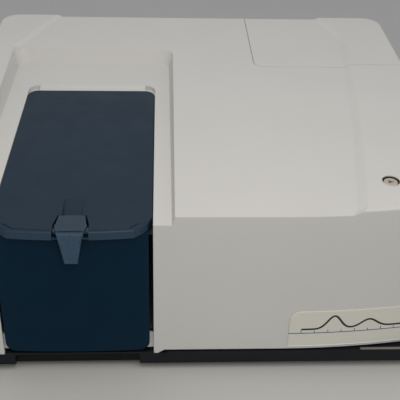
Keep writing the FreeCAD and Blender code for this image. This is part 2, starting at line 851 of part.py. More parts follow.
def hinge_brackets():
    """Two forked brackets on the chamber's back wall."""
    z = hinge_axis_z()
    inner = knuckle_width / 2 + touch_gap
    reach = inner + ear_thickness
    brackets = []
    for x in knuckle_places():
        parts = [box(x - reach, x + reach, chamber_back_y, chamber_back_y + hinge_bracket_thickness,
                     z - hinge_bracket_plate, z + hinge_ear_radius)]
        for x0 in (x - reach, x + inner):
            x1 = x0 + ear_thickness
            arm = box(x0, x1, chamber_back_y, hinge_y, z - hinge_ear_radius, z + hinge_ear_radius)
            parts.append(arm.fuse(rod(hinge_ear_radius, vec(x0, hinge_y, z), vec(x1, hinge_y, z))))
        bore = rod(hinge_pin_radius, vec(x - reach - 1, hinge_y, z), vec(x + reach + 1, hinge_y, z))
        brackets.append(joined(parts).cut(bore))
    return group(brackets)


def hinge_pins():
    z = hinge_axis_z()
    reach = knuckle_width / 2 + touch_gap + ear_thickness
    return group([rod(hinge_pin_radius, vec(x - reach, hinge_y, z), vec(x + reach, hinge_y, z))
                  for x in knuckle_places()])


def chamber_tub(floor_z):
    """The chamber's upright walls and floor, not yet cut to the slope of the lid."""
    outer = rounded_box(chamber_left_x, chamber_right_x, chamber_front_y, chamber_back_y, bench_top_z, far,
                        Z, chamber_corner)
    inner = rounded_box(chamber_left_x + chamber_wall, chamber_right_x - chamber_wall,
                        chamber_front_y + chamber_wall, chamber_back_y - chamber_wall, floor_z, far + 1,
                        Z, chamber_corner - chamber_wall)
    return outer.cut(inner)


def latch_clearance(start_y):
    """Room below the lid for the pocket of the latch."""
    half = latch_notch_half + latch_block_wall + 1.0
    return box(lid_middle_x - half, lid_middle_x + half, start_y, chamber_front_y + 26,
               rim_z(front_y) - pocket_depth - pocket_floor - 2 * touch_gap, far)


def sample_chamber():
    """The black casting that holds the cells, open at its top."""
    tub = chamber_tub(chamber_floor_z())
    tub = tub.cut(above(rim_z, -chamber_top_drop)).cut(latch_clearance(chamber_front_y - 5))
    for y in (sample_beam_y, reference_beam_y):
        tub = tub.cut(rod(beam_hole_radius, vec(chamber_left_x - 1, y, beam_z), vec(chamber_right_x + 1, y, beam_z)))
    return tub


def light_seal():
    slab = between(rim_z, -chamber_top_drop, -chamber_top_drop + seal_thickness)
    return chamber_tub(bench_top_z - 1).common(slab).cut(latch_clearance(chamber_front_y - 5))


def beam_windows():
    """Four quartz windows in the chamber's side walls."""
    windows = []
    for y in (sample_beam_y, reference_beam_y):
        for x in (chamber_left_x, chamber_right_x - window_thickness):
            windows.append(rod(beam_hole_radius, vec(x, y, beam_z), vec(x + window_thickness, y, beam_z)))
    return group(windows)


def chamber_floor_z():
    return bench_top_z + chamber_floor


def chamber_middle():
    return vec((chamber_left_x + chamber_right_x) / 2, (sample_beam_y + reference_beam_y) / 2, chamber_floor_z())


def thumbscrew_places():
    return [chamber_middle() + vec(0, side * plate_screw_reach, 0) for side in (-1, 1)]


def accessory_plate():
    mid = chamber_middle()
    plate = rounded_box(mid.x - plate_width / 2, mid.x + plate_width / 2, mid.y - plate_length / 2,
                        mid.y + plate_length / 2, mid.z, mid.z + plate_thickness, Z, 5)
    for place in thumbscrew_places():
        plate = plate.cut(rod(thumbscrew_shank_radius + 0.2, place - Z, place + Z * (plate_thickness + 1)))
    return plate


def plate_thumbscrews():
    """Knurled screws that hold the plate down."""
    screws = []
    for place in thumbscrew_places():
        seat = place + Z * plate_thickness
        head = rod(thumbscrew_head_radius, seat, seat + Z * thumbscrew_height)
        for index in range(thumbscrew_grooves):
            angle = math.radians(index * 360 / thumbscrew_grooves)
            rim = seat + vec(math.cos(angle), math.sin(angle), 0) * (thumbscrew_head_radius + 0.4)
            head = head.cut(rod(1.0, rim, rim + Z * thumbscrew_height))
        screws.append(joined([head, rod(thumbscrew_shank_radius, place, seat)]))
    return group(screws)


def cell_holder():
    """Twin cell holder: a stand with two square wells crossed by the beams."""
    mid = chamber_middle().x
    foot_z = chamber_floor_z() + plate_thickness
    front, back = sample_beam_y - holder_end, reference_beam_y + holder_end
    foot = box(mid - holder_foot_half, mid + holder_foot_half, front + 8, back - 8, foot_z, foot_z + 4)
    web = box(mid - 4, mid + 4, front + 10, back - 10, foot_z + 4, holder_bottom_z)
    head = rounded_box(mid - holder_half_width, mid + holder_half_width, front, back, holder_bottom_z, holder_top_z, Z, 3)
    holder = joined([foot, web, head])
    for y in (sample_beam_y, reference_beam_y):
        half = well_size / 2
        holder = holder.cut(box(mid - half, mid + half, y - half, y + half, holder_top_z - well_depth, far))
        holder = holder.cut(rod(aperture_radius, vec(mid - 40, y, beam_z), vec(mid + 40, y, beam_z)))
    slot = box(mid - holder_half_width - 1, mid + holder_half_width + 1, chamber_middle().y - 12,
               chamber_middle().y + 12, holder_bottom_z + 12, far)
    return holder.cut(slot)


def foot_places():
    front = front_y + 20
    rear = rear_y - 30
    return [(lid_left_x - 4, front), (lid_right_x + 1, front), (half_width - 34, front),
            (-half_width + 34, rear), (half_width - 34, rear)]


def base_tray():
    floor_z = foot_height + base_floor
    tray = base_block(foot_height, base_top_z)
    spigot = body_block(wall + touch_gap, foot_height + 1, base_top_z + spigot_height)
    room = body_block(2 * wall + touch_gap, floor_z, far)
    tray = tray.fuse(spigot.common(box(-far, far, -far, rear_y - wall - rear_panel_thickness, 0, far)))
    tray = tray.cut(room)
    left, right = lid_left_x - lid_gap - wall, lid_right_x + lid_gap + wall
    tray = tray.cut(box(left - 1, right + 1, front_y - 5, front_y + 12, base_top_z, far))
    tray = tray.cut(box(-rear_panel_half - 1, rear_panel_half + 1, rear_y - 12, far, base_top_z, far))
    tab_room = [box(left - post_tab_width, left + wall + 1, front_y - 1, front_y + wall + touch_gap,
                    cover_bottom_z - post_tab_drop - 0.5, far),
                box(right - wall - 1, right + post_tab_width, front_y - 1, front_y + wall + touch_gap,
                    cover_bottom_z - post_tab_drop - 0.5, far)]
    for room_for_tab in tab_room:
        tray = tray.cut(room_for_tab)
    recess_cut = rounded_box(finger_recess_left_x, finger_recess_right_x, front_y - 5,
                             front_y + finger_recess_depth, foot_height - 5, base_top_z - 2, Y, 3)
    tray = tray.cut(recess_cut)
    for x, y in foot_places():
        tray = tray.cut(rod(foot_bore_radius, vec(x, y, 0), vec(x, y, floor_z + 1)))
    return tray.cut(cover_screws()).removeSplitter()


def rubber_feet():
    """Tapered feet, each with its screw stem moulded in."""
    feet = []
    for x, y in foot_places():
        pad = Part.makeCone(foot_radius - 1.5, foot_radius, foot_height, vec(x, y, 0), Z)
        stem = rod(foot_bore_radius, vec(x, y, foot_height), vec(x, y, foot_height + base_floor))
        feet.append(joined([pad, stem]))
    return group(feet)


def optical_bench():
    """Cast plate with a rib round its underside."""
    rib_low = bench_bottom_z - bench_rib_depth
    plate = rounded_box(bench_left_x, bench_right_x, bench_front_y, bench_rear_y, rib_low, bench_top_z,
                        Z, bench_corner_radius)
    hollow = rounded_box(bench_left_x + bench_rib, bench_right_x - bench_rib, bench_front_y + bench_rib,
                         bench_rear_y - bench_rib, rib_low - 1, bench_bottom_z, Z, bench_corner_radius - bench_rib)
    return plate.cut(hollow)


def bench_mount_places():
    inset = 28
    return [(x, y) for x in (bench_left_x + inset, bench_right_x - inset)
            for y in (bench_front_y + inset + 8, bench_rear_y - inset)]


def bench_mounts():
    """Rubber blocks that keep vibration off the bench."""
    floor_z = foot_height + base_floor
    mounts = []
    for x, y in bench_mount_places():
        waist = tube(mount_radius - 1, mount_bore_radius, vec(x, y, floor_z), vec(x, y, bench_bottom_z))
        rims = [tube(mount_radius, mount_bore_radius, vec(x, y, z), vec(x, y, z + 3))
                for z in (floor_z, bench_bottom_z - 3)]
        mounts.append(joined([waist] + rims))
    return group(mounts)


def lamp_house():
    """Bent sheet box round both lamps, open at the top for changing them."""
    outer = box(lamp_house_left_x, lamp_house_right_x, lamp_house_front_y, lamp_house_rear_y,
                bench_top_z, lamp_house_top_z)
    inner = box(lamp_house_left_x + sheet, lamp_house_right_x - sheet, lamp_house_front_y + sheet,
                lamp_house_rear_y - sheet, bench_top_z + sheet, lamp_house_top_z + 1)
    house = outer.cut(inner)
    x = source_mirror_place[0]
    house = house.cut(rod(9, vec(x, lamp_house_front_y - 1, beam_z), vec(x, lamp_house_front_y + 5, beam_z)))
    for index in range(6):
        slot_x = fan_x - 25 + index * 10
        house = house.cut(box(slot_x - 2, slot_x + 2, lamp_house_rear_y - 5, lamp_house_rear_y + 5, 92, 142))
    return house


def lamp(place, radius, seat_z, shoulder_z):
    """A glass envelope with a domed end."""
    x, y = place
    glass = rod(radius, vec(x, y, seat_z), vec(x, y, shoulder_z))
    return joined([glass, Part.makeSphere(radius, vec(x, y, shoulder_z))])


def deuterium_lamp():
    return lamp(deuterium_place, deuterium_radius, deuterium_seat_z, deuterium_shoulder_z)


def deuterium_socket():
    x, y = deuterium_place
    floor_z = bench_top_z + sheet
    flange_z = deuterium_seat_z - 6
    flange = rod(deuterium_radius + 4, vec(x, y, flange_z), vec(x, y, deuterium_seat_z))
    stem = rod(deuterium_radius - 3, vec(x, y, floor_z), vec(x, y, flange_z))
    return joined([flange, stem])


def halogen_lamp():
    return lamp(halogen_place, halogen_radius, halogen_seat_z, halogen_shoulder_z)


def halogen_socket():
    x, y = halogen_place
    floor_z = bench_top_z + sheet
    block_z = halogen_seat_z - 16
    block = box(x - 10, x + 10, y - 8, y + 8, block_z, halogen_seat_z)
    bracket = box(x - 8, x + 8, y + 2, y + 6, floor_z, block_z)
    foot = box(x - 8, x + 8, y - 10, y + 6, floor_z, floor_z + 3)
    return joined([block, bracket, foot])


def source_mirror_motor():
    x, y = source_mirror_place
    floor_z = bench_top_z + sheet
    half = motor_size / 2
    case = rounded_box(x - half, x + half, y - half + 4, y + half - 4, floor_z, floor_z + motor_height, Z, 3)
    bore = rod(motor_shaft_radius + running_gap, vec(x, y, floor_z + 4), vec(x, y, floor_z + 60))
    return case.cut(bore)


def source_mirror():
    """Mirror on a turning shaft that picks the lamp."""
    x, y = source_mirror_place
    floor_z = bench_top_z + sheet
    shaft = rod(motor_shaft_radius, vec(x, y, floor_z + 5), vec(x, y, beam_z - 20))
    yoke = rod(8, vec(x, y, floor_z + motor_height + touch_gap), vec(x, y, floor_z + motor_height + 5))
    stem = box(x - 4, x + 4, y - 3, y + 3, beam_z - 22, beam_z - 10)
    normal = vec(-0.42, -0.91, 0)
    disc = rod(source_mirror_radius, vec(x, y, beam_z) - normal * 3, vec(x, y, beam_z) + normal * 3)
    return joined([shaft, yoke, stem, disc])


def slit_plate(x, width):
    plate = box(x - width, x + width, slit_wall_y, slit_wall_y + slit_wall_thickness, bench_top_z, beam_z + 22)
    foot = box(x - width, x + width, slit_wall_y - 10, slit_wall_y, bench_top_z, bench_top_z + 3)
    slot = box(x - 0.6, x + 0.6, slit_wall_y - 1, slit_wall_y + slit_wall_thickness + 1, beam_z - 5, beam_z + 5)
    return joined([plate, foot]).cut(slot)


def beam_slits():
    """Entrance and exit slits of the monochromator."""
    return group([slit_plate(entrance_x, slit_half_width), slit_plate(exit_x, slit_half_width)])


def filter_wheel_axis():
    return vec(entrance_x + filter_circle_radius, filter_wheel_y, beam_z)


def filter_places():
    centre = filter_wheel_axis()
    places = []
    for index in range(filter_count):
        angle = math.radians(180 + index * 360 / filter_count)
        places.append(centre + vec(filter_circle_radius * math.cos(angle), 0, filter_circle_radius * math.sin(angle)))
    return places


def filter_wheel():
    centre = filter_wheel_axis()
    thick = vec(0, filter_wheel_thickness, 0)
    wheel = rod(filter_wheel_radius, centre, centre + thick)
    for place in filter_places():
        wheel = wheel.cut(rod(filter_radius, place - Y, place + thick + Y))
    shaft = rod(motor_shaft_radius, centre, centre + vec(0, filter_shaft_length, 0))
    return joined([wheel, shaft])


def order_filters():
    """Glass filters of the wheel, with one place left open."""
    return group([rod(filter_radius, place + Y * 0.5, place + Y * (filter_wheel_thickness - 0.5))
                  for place in filter_places()[1:]])


def filter_motor():
    centre = filter_wheel_axis()
    front = filter_wheel_y + filter_wheel_thickness + 2
    back = lamp_house_front_y - 1
    case = box(centre.x - 11, centre.x + 11, front, back, beam_z - 11, beam_z + 11)
    leg = box(centre.x - 11, centre.x + 11, back - 5, back, bench_top_z, beam_z - 11)
    foot = box(centre.x - 11, centre.x + 11, front + 2, back, bench_top_z, bench_top_z + 3)
    bore = rod(motor_shaft_radius + running_gap, centre, centre + vec(0, filter_shaft_length + 1, 0))
    return joined([case, leg, foot]).cut(bore)


def curved_mirror(x, aim):
    """A concave mirror in its upright holder, turned a little about Z."""
    centre = vec(x, mirror_y, beam_z)
    disc = rod(mirror_radius, centre, centre + vec(0, mirror_thickness, 0))
    face_y = mirror_y + mirror_thickness - 1.5
    disc = disc.cut(Part.makeSphere(mirror_curve_radius, vec(x, face_y + mirror_curve_radius, beam_z)))
    plate = box(x - mirror_radius - 4, x + mirror_radius + 4, mirror_y - 5, mirror_y, bench_top_z,
                beam_z + mirror_radius + 4)
    foot = box(x - mirror_radius - 4, x + mirror_radius + 4, mirror_y, mirror_y + 12, bench_top_z, bench_top_z + 4)
    mirror = joined([disc, plate, foot])
    mirror.rotate(vec(x, mirror_y, 0), Z, aim)
    return mirror


def collimating_mirror():
    return curved_mirror(entrance_x, 4)


def focusing_mirror():
    return curved_mirror(exit_x, -4)


def grating_motor():
    x, y = grating_place
    half = grating_motor_size / 2
    case = rounded_box(x - half, x + half, y - half, y + half, bench_top_z, bench_top_z + motor_height, Z, 4)
    bore = rod(grating_shaft_radius + running_gap, vec(x, y, bench_top_z + 3), vec(x, y, far))
    return case.cut(bore)


def grating_table():
    x, y = grating_place
    top = bench_top_z + motor_height
    shaft = rod(grating_shaft_radius, vec(x, y, bench_top_z + 4), vec(x, y, top + 2))
    table = rod(grating_table_radius, vec(x, y, top + touch_gap), vec(x, y, top + 6))
    back = box(x - 18, x + 18, y + grating_thickness / 2, y + grating_thickness / 2 + 4, top + 5, beam_z + 18)
    ledge = box(x - 18, x + 18, y - grating_thickness / 2, y + grating_thickness / 2, top + 5, beam_z - 15)
    return joined([shaft, table, back, ledge])


def grating():
    x, y = grating_place
    half = grating_size / 2
    return box(x - half, x + half, y - grating_thickness / 2, y + grating_thickness / 2, beam_z - 15, beam_z + 15)


def mirror_on_post(x, y, angle):
    """A small flat mirror on its post, turned about Z."""
    half = fold_mirror_size / 2
    glass = box(x - half, x + half, y, y + 5, beam_z - half, beam_z + half)
    post = rod(5, vec(x, y + 6, bench_top_z), vec(x, y + 6, beam_z - half + 2))
    clamp = box(x - 8, x + 8, y + 4, y + 11, beam_z - half + 1, beam_z + 4)
    base = rod(11, vec(x, y + 6, bench_top_z), vec(x, y + 6, bench_top_z + 4))
    mirror = joined([glass, post, clamp, base])
    mirror.rotate(vec(x, y, 0), Z, angle)
    return mirror


def fold_mirrors():
    return group([mirror_on_post(exit_x, fold_y, -45), mirror_on_post(fold_x, fold_y, 45),
                  mirror_on_post(fold_x, sample_beam_y, 225 - 90)])


def beam_splitter():
    """A half mirror in a ring that sends one beam to the reference cell."""
    half = fold_mirror_size / 2
    x, y = fold_x, reference_beam_y
    frame = box(x - half, x + half, y - 2, y + 2, beam_z - half, beam_z + half)
    frame = frame.cut(rod(half - 3, vec(x, y - 5, beam_z), vec(x, y + 5, beam_z)))
    glass = rod(half - 3, vec(x, y - 1, beam_z), vec(x, y + 1, beam_z))
    post = rod(5, vec(x, y, bench_top_z), vec(x, y, beam_z - half))
    base = rod(11, vec(x, y, bench_top_z), vec(x, y, bench_top_z + 4))
    splitter = joined([frame, glass, post, base])
    splitter.rotate(vec(x, y, 0), Z, 135)
    return splitter


def detector(y):
    """A screened box with a lens barrel that faces the chamber."""
    case = rounded_box(detector_left_x, detector_right_x, y - detector_half_depth, y + detector_half_depth,
                       bench_top_z, detector_top_z, X, 3)
    barrel = rod(lens_radius + 2, vec(detector_right_x, y, beam_z), vec(chamber_left_x - 2, y, beam_z))
    bore = rod(lens_radius, vec(detector_right_x - detector_width / 2, y, beam_z), vec(chamber_left_x, y, beam_z))
    return joined([case, barrel]).cut(bore)


def sample_detector():
    return detector(sample_beam_y)


def reference_detector():
    return detector(reference_beam_y)


def detector_lenses():
    """A plano-convex lens at the mouth of each barrel."""
    lenses = []
    for y in (sample_beam_y, reference_beam_y):
        mouth = chamber_left_x - 4
        disc = rod(lens_radius, vec(mouth - lens_thickness, y, beam_z), vec(mouth, y, beam_z))
        dome = Part.makeSphere(lens_curve_radius, vec(mouth - lens_curve_radius, y, beam_z))
        lenses.append(disc.common(dome))
    return group(lenses)


def preamp_board():
    """A small amplifier board bridging both detectors."""
    half = detector_half_depth
    board = box(detector_left_x + 2, detector_right_x - 2, sample_beam_y - half, reference_beam_y + half,
                detector_top_z, detector_top_z + board_thickness)
    chips = [box(detector_left_x + 6, detector_right_x - 6, y - 5, y + 5, detector_top_z + board_thickness,
                 detector_top_z + board_thickness + 3) for y in (sample_beam_y + 20, reference_beam_y - 20)]
    return joined([board] + chips)


def rear_panel_back():
    return rear_y - wall


def socket_cut(x, half_width_mm, half_height):
    return box(x - half_width_mm, x + half_width_mm, rear_y - 40, rear_y + 5, socket_z - half_height,
               socket_z + half_height)


def rear_panel():
    """Sheet panel with its sockets, fan opening and cooling slots."""
    back = rear_panel_back()
    panel = box(-rear_panel_half, rear_panel_half, back - rear_panel_thickness, back,
                rear_panel_bottom_z, rear_panel_top_z)
    for corner_x in (-rear_panel_half, rear_panel_half):
        panel = fillet_along(panel, Y, 6, lambda p: abs(p.x - corner_x) < 0.5)
    for x, half_wide, half_high in ((inlet_x, inlet_half_width, inlet_half_height),
                                    (rocker_x, rocker_case_half_width, rocker_case_half_height),
                                    (usb_x, usb_half_width, usb_half_height)):
        panel = panel.cut(socket_cut(x, half_wide + touch_gap, half_high + touch_gap))
    panel = panel.cut(rod(fan_size / 2 - 3, vec(fan_x, back - 10, fan_z), vec(fan_x, back + 10, fan_z)))
    for index in range(vent_slot_count):
        x = (index - (vent_slot_count - 1) / 2) * vent_slot_pitch + vent_middle_x
        panel = panel.cut(rounded_box(x - 2, x + 2, back - 5, back + 5, vent_bottom_z, vent_top_z, Y, 1.9))
    return panel


def power_supply():
    """Screened supply with a finned side."""
    case = box(supply_left_x, supply_right_x, supply_front_y, supply_rear_y, bench_top_z, supply_top_z)
    for index in range(supply_fin_count):
        x = supply_left_x + (index + 1) * supply_width / (supply_fin_count + 1) - 2.5
        case = case.cut(box(x, x + 5, supply_front_y - 1, supply_front_y + 6, bench_top_z + 8, supply_top_z - 8))
    return case


def standoff_places():
    return [(x, y) for x in (supply_left_x + 8, supply_right_x - 8) for y in (supply_front_y + 8, supply_rear_y - 8)]


def board_standoffs():
    return group([rod(3.5, vec(x, y, supply_top_z), vec(x, y, board_z)) for x, y in standoff_places()])


def main_board():
    top = board_z + board_thickness
    board = box(supply_left_x, supply_right_x, supply_front_y, supply_rear_y + board_overhang, board_z, top)
    chips = [(32, 30, 24, 24, 3), (82, 40, 14, 20, 2.5), (117, 30, 16, 16, 3), (22, 80, 10, 24, 9),
             (62, 85, 30, 8, 10), (127, 80, 12, 30, 4)]
    pieces = []
    for right, back, across, along, height in chips:
        x, y = supply_left_x + right, supply_front_y + back
        pieces.append(box(x - across / 2, x + across / 2, y - along / 2, y + along / 2, top, top + height))
    for index in range(2):
        foot = vec(supply_left_x + 97 + 12 * index, supply_front_y + 70, top)
        pieces.append(rod(5, foot, foot + Z * 12))
    return joined([board] + pieces)


def ac_inlet():
    """Three-pin mains inlet with a flange and a fuse pocket below the pins."""
    back = rear_panel_back()
    wide, high = inlet_half_width + inlet_flange, inlet_half_height + inlet_flange - 1
    flange = rounded_box(inlet_x - wide, inlet_x + wide, back, back + 2, socket_z - high, socket_z + high, Y, 3)
    case = box(inlet_x - inlet_half_width, inlet_x + inlet_half_width, back - inlet_depth, back,
               socket_z - inlet_half_height, socket_z + inlet_half_height)
    inlet = joined([flange, case])
    inlet = inlet.cut(rounded_box(inlet_x - inlet_half_width + 1.7, inlet_x + inlet_half_width - 1.7, back - 16,
                                  back + 5, socket_z - 3, socket_z + 14, Y, 2.5))
    inlet = inlet.cut(box(inlet_x - fuse_half_width, inlet_x + fuse_half_width, back - fuse_depth, back + 5,
                          socket_z - fuse_low, socket_z - fuse_high))
    pins = [box(inlet_x + x - 1, inlet_x + x + 1, back - 18, back - 2, socket_z + 5.5 - up, socket_z + 9.5 - up)
            for x, up in ((-7, 3), (0, 0), (7, 3))]
    return joined([inlet] + pins)


def fuse_drawer():
    """Pull-out fuse carrier below the pins."""
    back = rear_panel_back()
    low, high = socket_z - fuse_low + touch_gap, socket_z - fuse_high - touch_gap
    body = box(inlet_x - fuse_half_width + touch_gap, inlet_x + fuse_half_width - touch_gap,
               back - fuse_depth + 1, back + 2.6, low, high)
    grip = box(inlet_x - 4, inlet_x + 4, back + 1.4, back + 3, low + 2, high - 2)
    return body.cut(grip)


def rocker_pivot():
    return vec(rocker_x, rear_y - rocker_pivot_inset, socket_z)


def rocker_housing():
    back = rear_panel_back()
    pivot = rocker_pivot()
    wide, high = rocker_case_half_width, rocker_case_half_height
    flange = rounded_box(rocker_x - wide - 2.3, rocker_x + wide + 2.3, back, back + 1.5, socket_z - high - 2.3,
                         socket_z + high + 2.3, Y, 2)
    case = box(rocker_x - wide, rocker_x + wide, back - rocker_case_depth, back, socket_z - high, socket_z + high)
    room = rocker_half_width + touch_gap
    housing = joined([flange, case]).cut(box(rocker_x - room, rocker_x + room, back - rocker_case_depth + 4,
                                             back + 5, socket_z - high + 1.5, socket_z + high - 1.5))
    reach = vec(rocker_trunnion_half + 0.2, 0, 0)
    return housing.cut(rod(rocker_trunnion_radius + running_gap, pivot - reach, pivot + reach))


def power_rocker():
    """A shallow V rocker on trunnions, resting in its off position."""
    pivot = rocker_pivot()
    h = rocker_half_height
    points = [(8.2, -h), (6.6, 0), (8.2, h), (3.0, h + 0.8), (-2.5, 4), (-2.5, -4), (3.0, -h - 0.8)]
    outline = [(pivot.y + y, pivot.z + z) for y, z in points]
    cap = prism_x(outline, rocker_x - rocker_half_width, rocker_x + rocker_half_width)
    reach = vec(rocker_trunnion_half, 0, 0)
    rocker = joined([cap, rod(rocker_trunnion_radius, pivot - reach, pivot + reach)])
    rocker.rotate(pivot, X, -rocker_tilt)
    return rocker


def usb_port():
    """A square data socket with its tongue and a foot behind."""
    back = rear_panel_back()
    wide, high = usb_half_width, usb_half_height
    shell = box(usb_x - wide, usb_x + wide, back - usb_depth, back + 0.6, socket_z - high, socket_z + high)
    shell = shell.cut(box(usb_x - wide + 1.8, usb_x + wide - 1.8, back - usb_depth + 5, back + 5,
                          socket_z - high + 1.5, socket_z + high - 1.5))
    tongue = box(usb_x - 2.8, usb_x + 2.8, back - usb_depth + 5, back - 2, socket_z - 1.5, socket_z + 1.5)
    foot = box(usb_x - wide, usb_x + wide, back - usb_depth, back - usb_depth + 3, socket_z - high - 3, socket_z - high)
    return joined([shell, tongue, foot])


def fan_frame():
    """Square fan frame with a hub held by four arms."""
    back = rear_panel_back() - rear_panel_thickness
    front = back - fan_depth
    half = fan_size / 2
    frame = rounded_box(fan_x - half, fan_x + half, front, back, fan_z - half, fan_z + half, Y, 4)
    frame = frame.cut(rod(half - 2, vec(fan_x, front - 1, fan_z), vec(fan_x, back + 1, fan_z)))
    hub = rod(fan_hub_radius, vec(fan_x, front, fan_z), vec(fan_x, front + 3, fan_z))
    arms = [box(fan_x - half + 1, fan_x + half - 1, front, front + 2, fan_z - 2, fan_z + 2),
            box(fan_x - 2, fan_x + 2, front, front + 2, fan_z - half + 1, fan_z + half - 1)]
    spider = joined([hub] + arms)
    bore = rod(fan_shaft_radius + running_gap, vec(fan_x, front - 1, fan_z), vec(fan_x, back, fan_z))
    return joined([frame, spider.cut(bore)])


def fan_impeller():
    """Hub with twisted blades on its shaft."""
    back = rear_panel_back() - rear_panel_thickness
    start = back - fan_depth + 3 + touch_gap
    hub = rod(fan_hub_radius - 1, vec(fan_x, start, fan_z), vec(fan_x, back - 1.5, fan_z))
    shaft = rod(fan_shaft_radius, vec(fan_x, back - fan_depth + 0.5, fan_z), vec(fan_x, start, fan_z))
    blades = []
    for index in range(fan_blades):
        blade = box(fan_x + fan_hub_radius - 2, fan_x + fan_size / 2 - 3, start + 4, start + 5.2, fan_z - 5, fan_z + 5)
        blade.rotate(vec(fan_x, start + 4.6, fan_z), X, 35)
        blade.rotate(vec(fan_x, 0, fan_z), Y, index * 360 / fan_blades)
        blades.append(blade)
    return joined([hub, shaft] + blades)


def fan_guard():
    """Wire guard of rings on four spokes."""
    centre = vec(fan_x, rear_panel_back() + guard_wire_radius, fan_z)
    outer = fan_size / 2 - 1
    rings = [Part.makeTorus(outer - inset, guard_wire_radius, centre, Y) for inset in (20, 13, 6, 0)]
    spokes = []
    for index in range(4):
        angle = math.radians(45 + 90 * index)
        tip = vec(math.cos(angle), 0, math.sin(angle)) * (outer + 1.5)
        spokes.append(rod(guard_wire_radius, centre, centre + tip))
    return joined(rings + spokes)


def cover_screws():
    """Countersunk screws through the casing's sides into the base."""
    screws = []
    for side in (-1, 1):
        for y in screw_places:
            face = vec(side * half_width, y, base_top_z + spigot_height - 5)
            inward = vec(-side, 0, 0)
            head = Part.makeCone(screw_head_radius, screw_radius, screw_head_depth, face, inward)
            shank = rod(screw_radius, face + inward * screw_head_depth, face + inward * screw_length)
            screws.append(joined([head, shank]))
    return group(screws)


PIECES = {piece.__name__: piece for piece in (
    main_cover, lamp_cover, base_tray, front_panel, sample_lid, lid_latch, latch_pin, latch_spring, catch_plate,
    catch_magnet, hinge_brackets, hinge_pins, light_seal, sample_chamber, beam_windows, accessory_plate,
    plate_thumbscrews, cell_holder, start_button, button_ring, button_switch, switch_board, rubber_feet,
    optical_bench, bench_mounts, lamp_house, deuterium_lamp, deuterium_socket, halogen_lamp, halogen_socket,
    source_mirror, source_mirror_motor, filter_wheel, order_filters, filter_motor, beam_slits,
    collimating_mirror, focusing_mirror, grating_motor, grating_table, grating, fold_mirrors, beam_splitter,
    sample_detector, reference_detector, detector_lenses, preamp_board, rear_panel, power_supply, main_board,
    board_standoffs, ac_inlet, fuse_drawer, rocker_housing, power_rocker, usb_port, fan_frame, fan_impeller,
    fan_guard, cover_screws)}

os.makedirs("parts", exist_ok=True)
for name, make in PIECES.items():
    make().exportStep(os.path.join("parts", name + ".step"))
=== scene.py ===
"""Looks of a bench UV-vis spectrophotometer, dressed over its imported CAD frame."""

import math

import bpy
import numpy as np
from bpy.props import FloatProperty, FloatVectorProperty, IntProperty, PointerProperty
from mathutils import Matrix, Vector


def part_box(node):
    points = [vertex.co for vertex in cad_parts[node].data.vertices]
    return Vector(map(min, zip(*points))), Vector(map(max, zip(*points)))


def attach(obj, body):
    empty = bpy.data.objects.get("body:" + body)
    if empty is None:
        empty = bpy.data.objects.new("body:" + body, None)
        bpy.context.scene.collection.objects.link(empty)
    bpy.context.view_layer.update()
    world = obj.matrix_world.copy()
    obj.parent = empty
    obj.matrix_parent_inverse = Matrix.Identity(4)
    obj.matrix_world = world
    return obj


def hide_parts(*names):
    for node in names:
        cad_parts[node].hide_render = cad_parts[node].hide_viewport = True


bl_info = {
    "name": "UV-vis spectrophotometer",
    "version": (1, 0, 0),
    "blender": (4, 5, 0),
    "location": "3D View > Sidebar > Instrument",
    "description": "Dresses the packed frame of a bench UV-vis spectrophotometer",
    "category": "Object",
}

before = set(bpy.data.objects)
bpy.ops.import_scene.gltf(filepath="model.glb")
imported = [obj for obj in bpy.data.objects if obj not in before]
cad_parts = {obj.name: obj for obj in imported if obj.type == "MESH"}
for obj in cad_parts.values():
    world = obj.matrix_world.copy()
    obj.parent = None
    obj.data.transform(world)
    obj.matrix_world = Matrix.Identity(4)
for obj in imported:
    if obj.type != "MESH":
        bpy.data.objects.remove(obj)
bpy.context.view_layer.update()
cover_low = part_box("main_cover")[0]
MM = 0.001
FULL_TURN = 2 * math.pi
PRINT_COAT = 0.08 * MM
CURVE_PEAKS = ((1.0, 0.3, 0.085), (0.6, 0.63, 0.1))  # height, place and width, as shares of the printed curve's


def srgb(red, green, blue):
    """A colour written in 0 to 255 display values, as linear light."""
    shown = np.array([red, green, blue]) / 255
    return tuple(np.where(shown <= 0.04045, shown / 12.92, ((shown + 0.055) / 1.055) ** 2.4))


def length(name, description, default):
    """A size for the sidebar, in metres."""
    return FloatProperty(name=name, description=description, default=default, unit="LENGTH", precision=4)


def colour(name, description, default):
    """A colour for the sidebar, in linear light."""
    return FloatVectorProperty(name=name, description=description, default=default, subtype="COLOR", min=0, max=1)


def share(name, description, default):
    """A number from 0 to 1 for the sidebar."""
    return FloatProperty(name=name, description=description, default=default, min=0, max=1, subtype="FACTOR")


def angle(name, description, degrees):
    """An angle for the sidebar, given in degrees."""
    return FloatProperty(name=name, description=description, default=math.radians(degrees), subtype="ANGLE")


def rising(name, description, default):
    """A rise per length for the sidebar."""
    return FloatProperty(name=name, description=description, default=default, precision=4)


class CasingLook(bpy.types.PropertyGroup):
    """Colours and finish of the outer mouldings."""

    cover: colour("Cover", "Warm white of the casing", srgb(205, 204, 202))
    lid: colour("Lid and panel", "Navy of the sample lid and the front panel", srgb(5, 36, 55))
    # Painted highlight: a lighter tone painted on the lid's faces turned to the user, where they catch the light.
    lip: colour("Lip", "Slate tone of the lid's upright edges", srgb(38, 64, 88))
    lever: colour("Latch", "Slate of the latch lever", srgb(39, 57, 73))
    # Painted highlight: a lighter tone painted on the latch's faces turned to the front.
    tongue_highlight: colour("Tongue", "Slate of the latch lever's faces turned to the front", srgb(49, 74, 95))
    base: colour("Base", "Dark of the base tray", srgb(20, 25, 29))
    grain: length("Grain", "Width of one bump of the moulded texture", 0.9 * MM)
    roughness: share("Roughness", "Roughness of the moulded faces", 0.55)
    edge: length("Edge", "Radius by which moulded edges look rounded", 0.6 * MM)
    cover_edge: length("Cover edge", "Radius by which the casing's edges look rounded", 1.2 * MM)


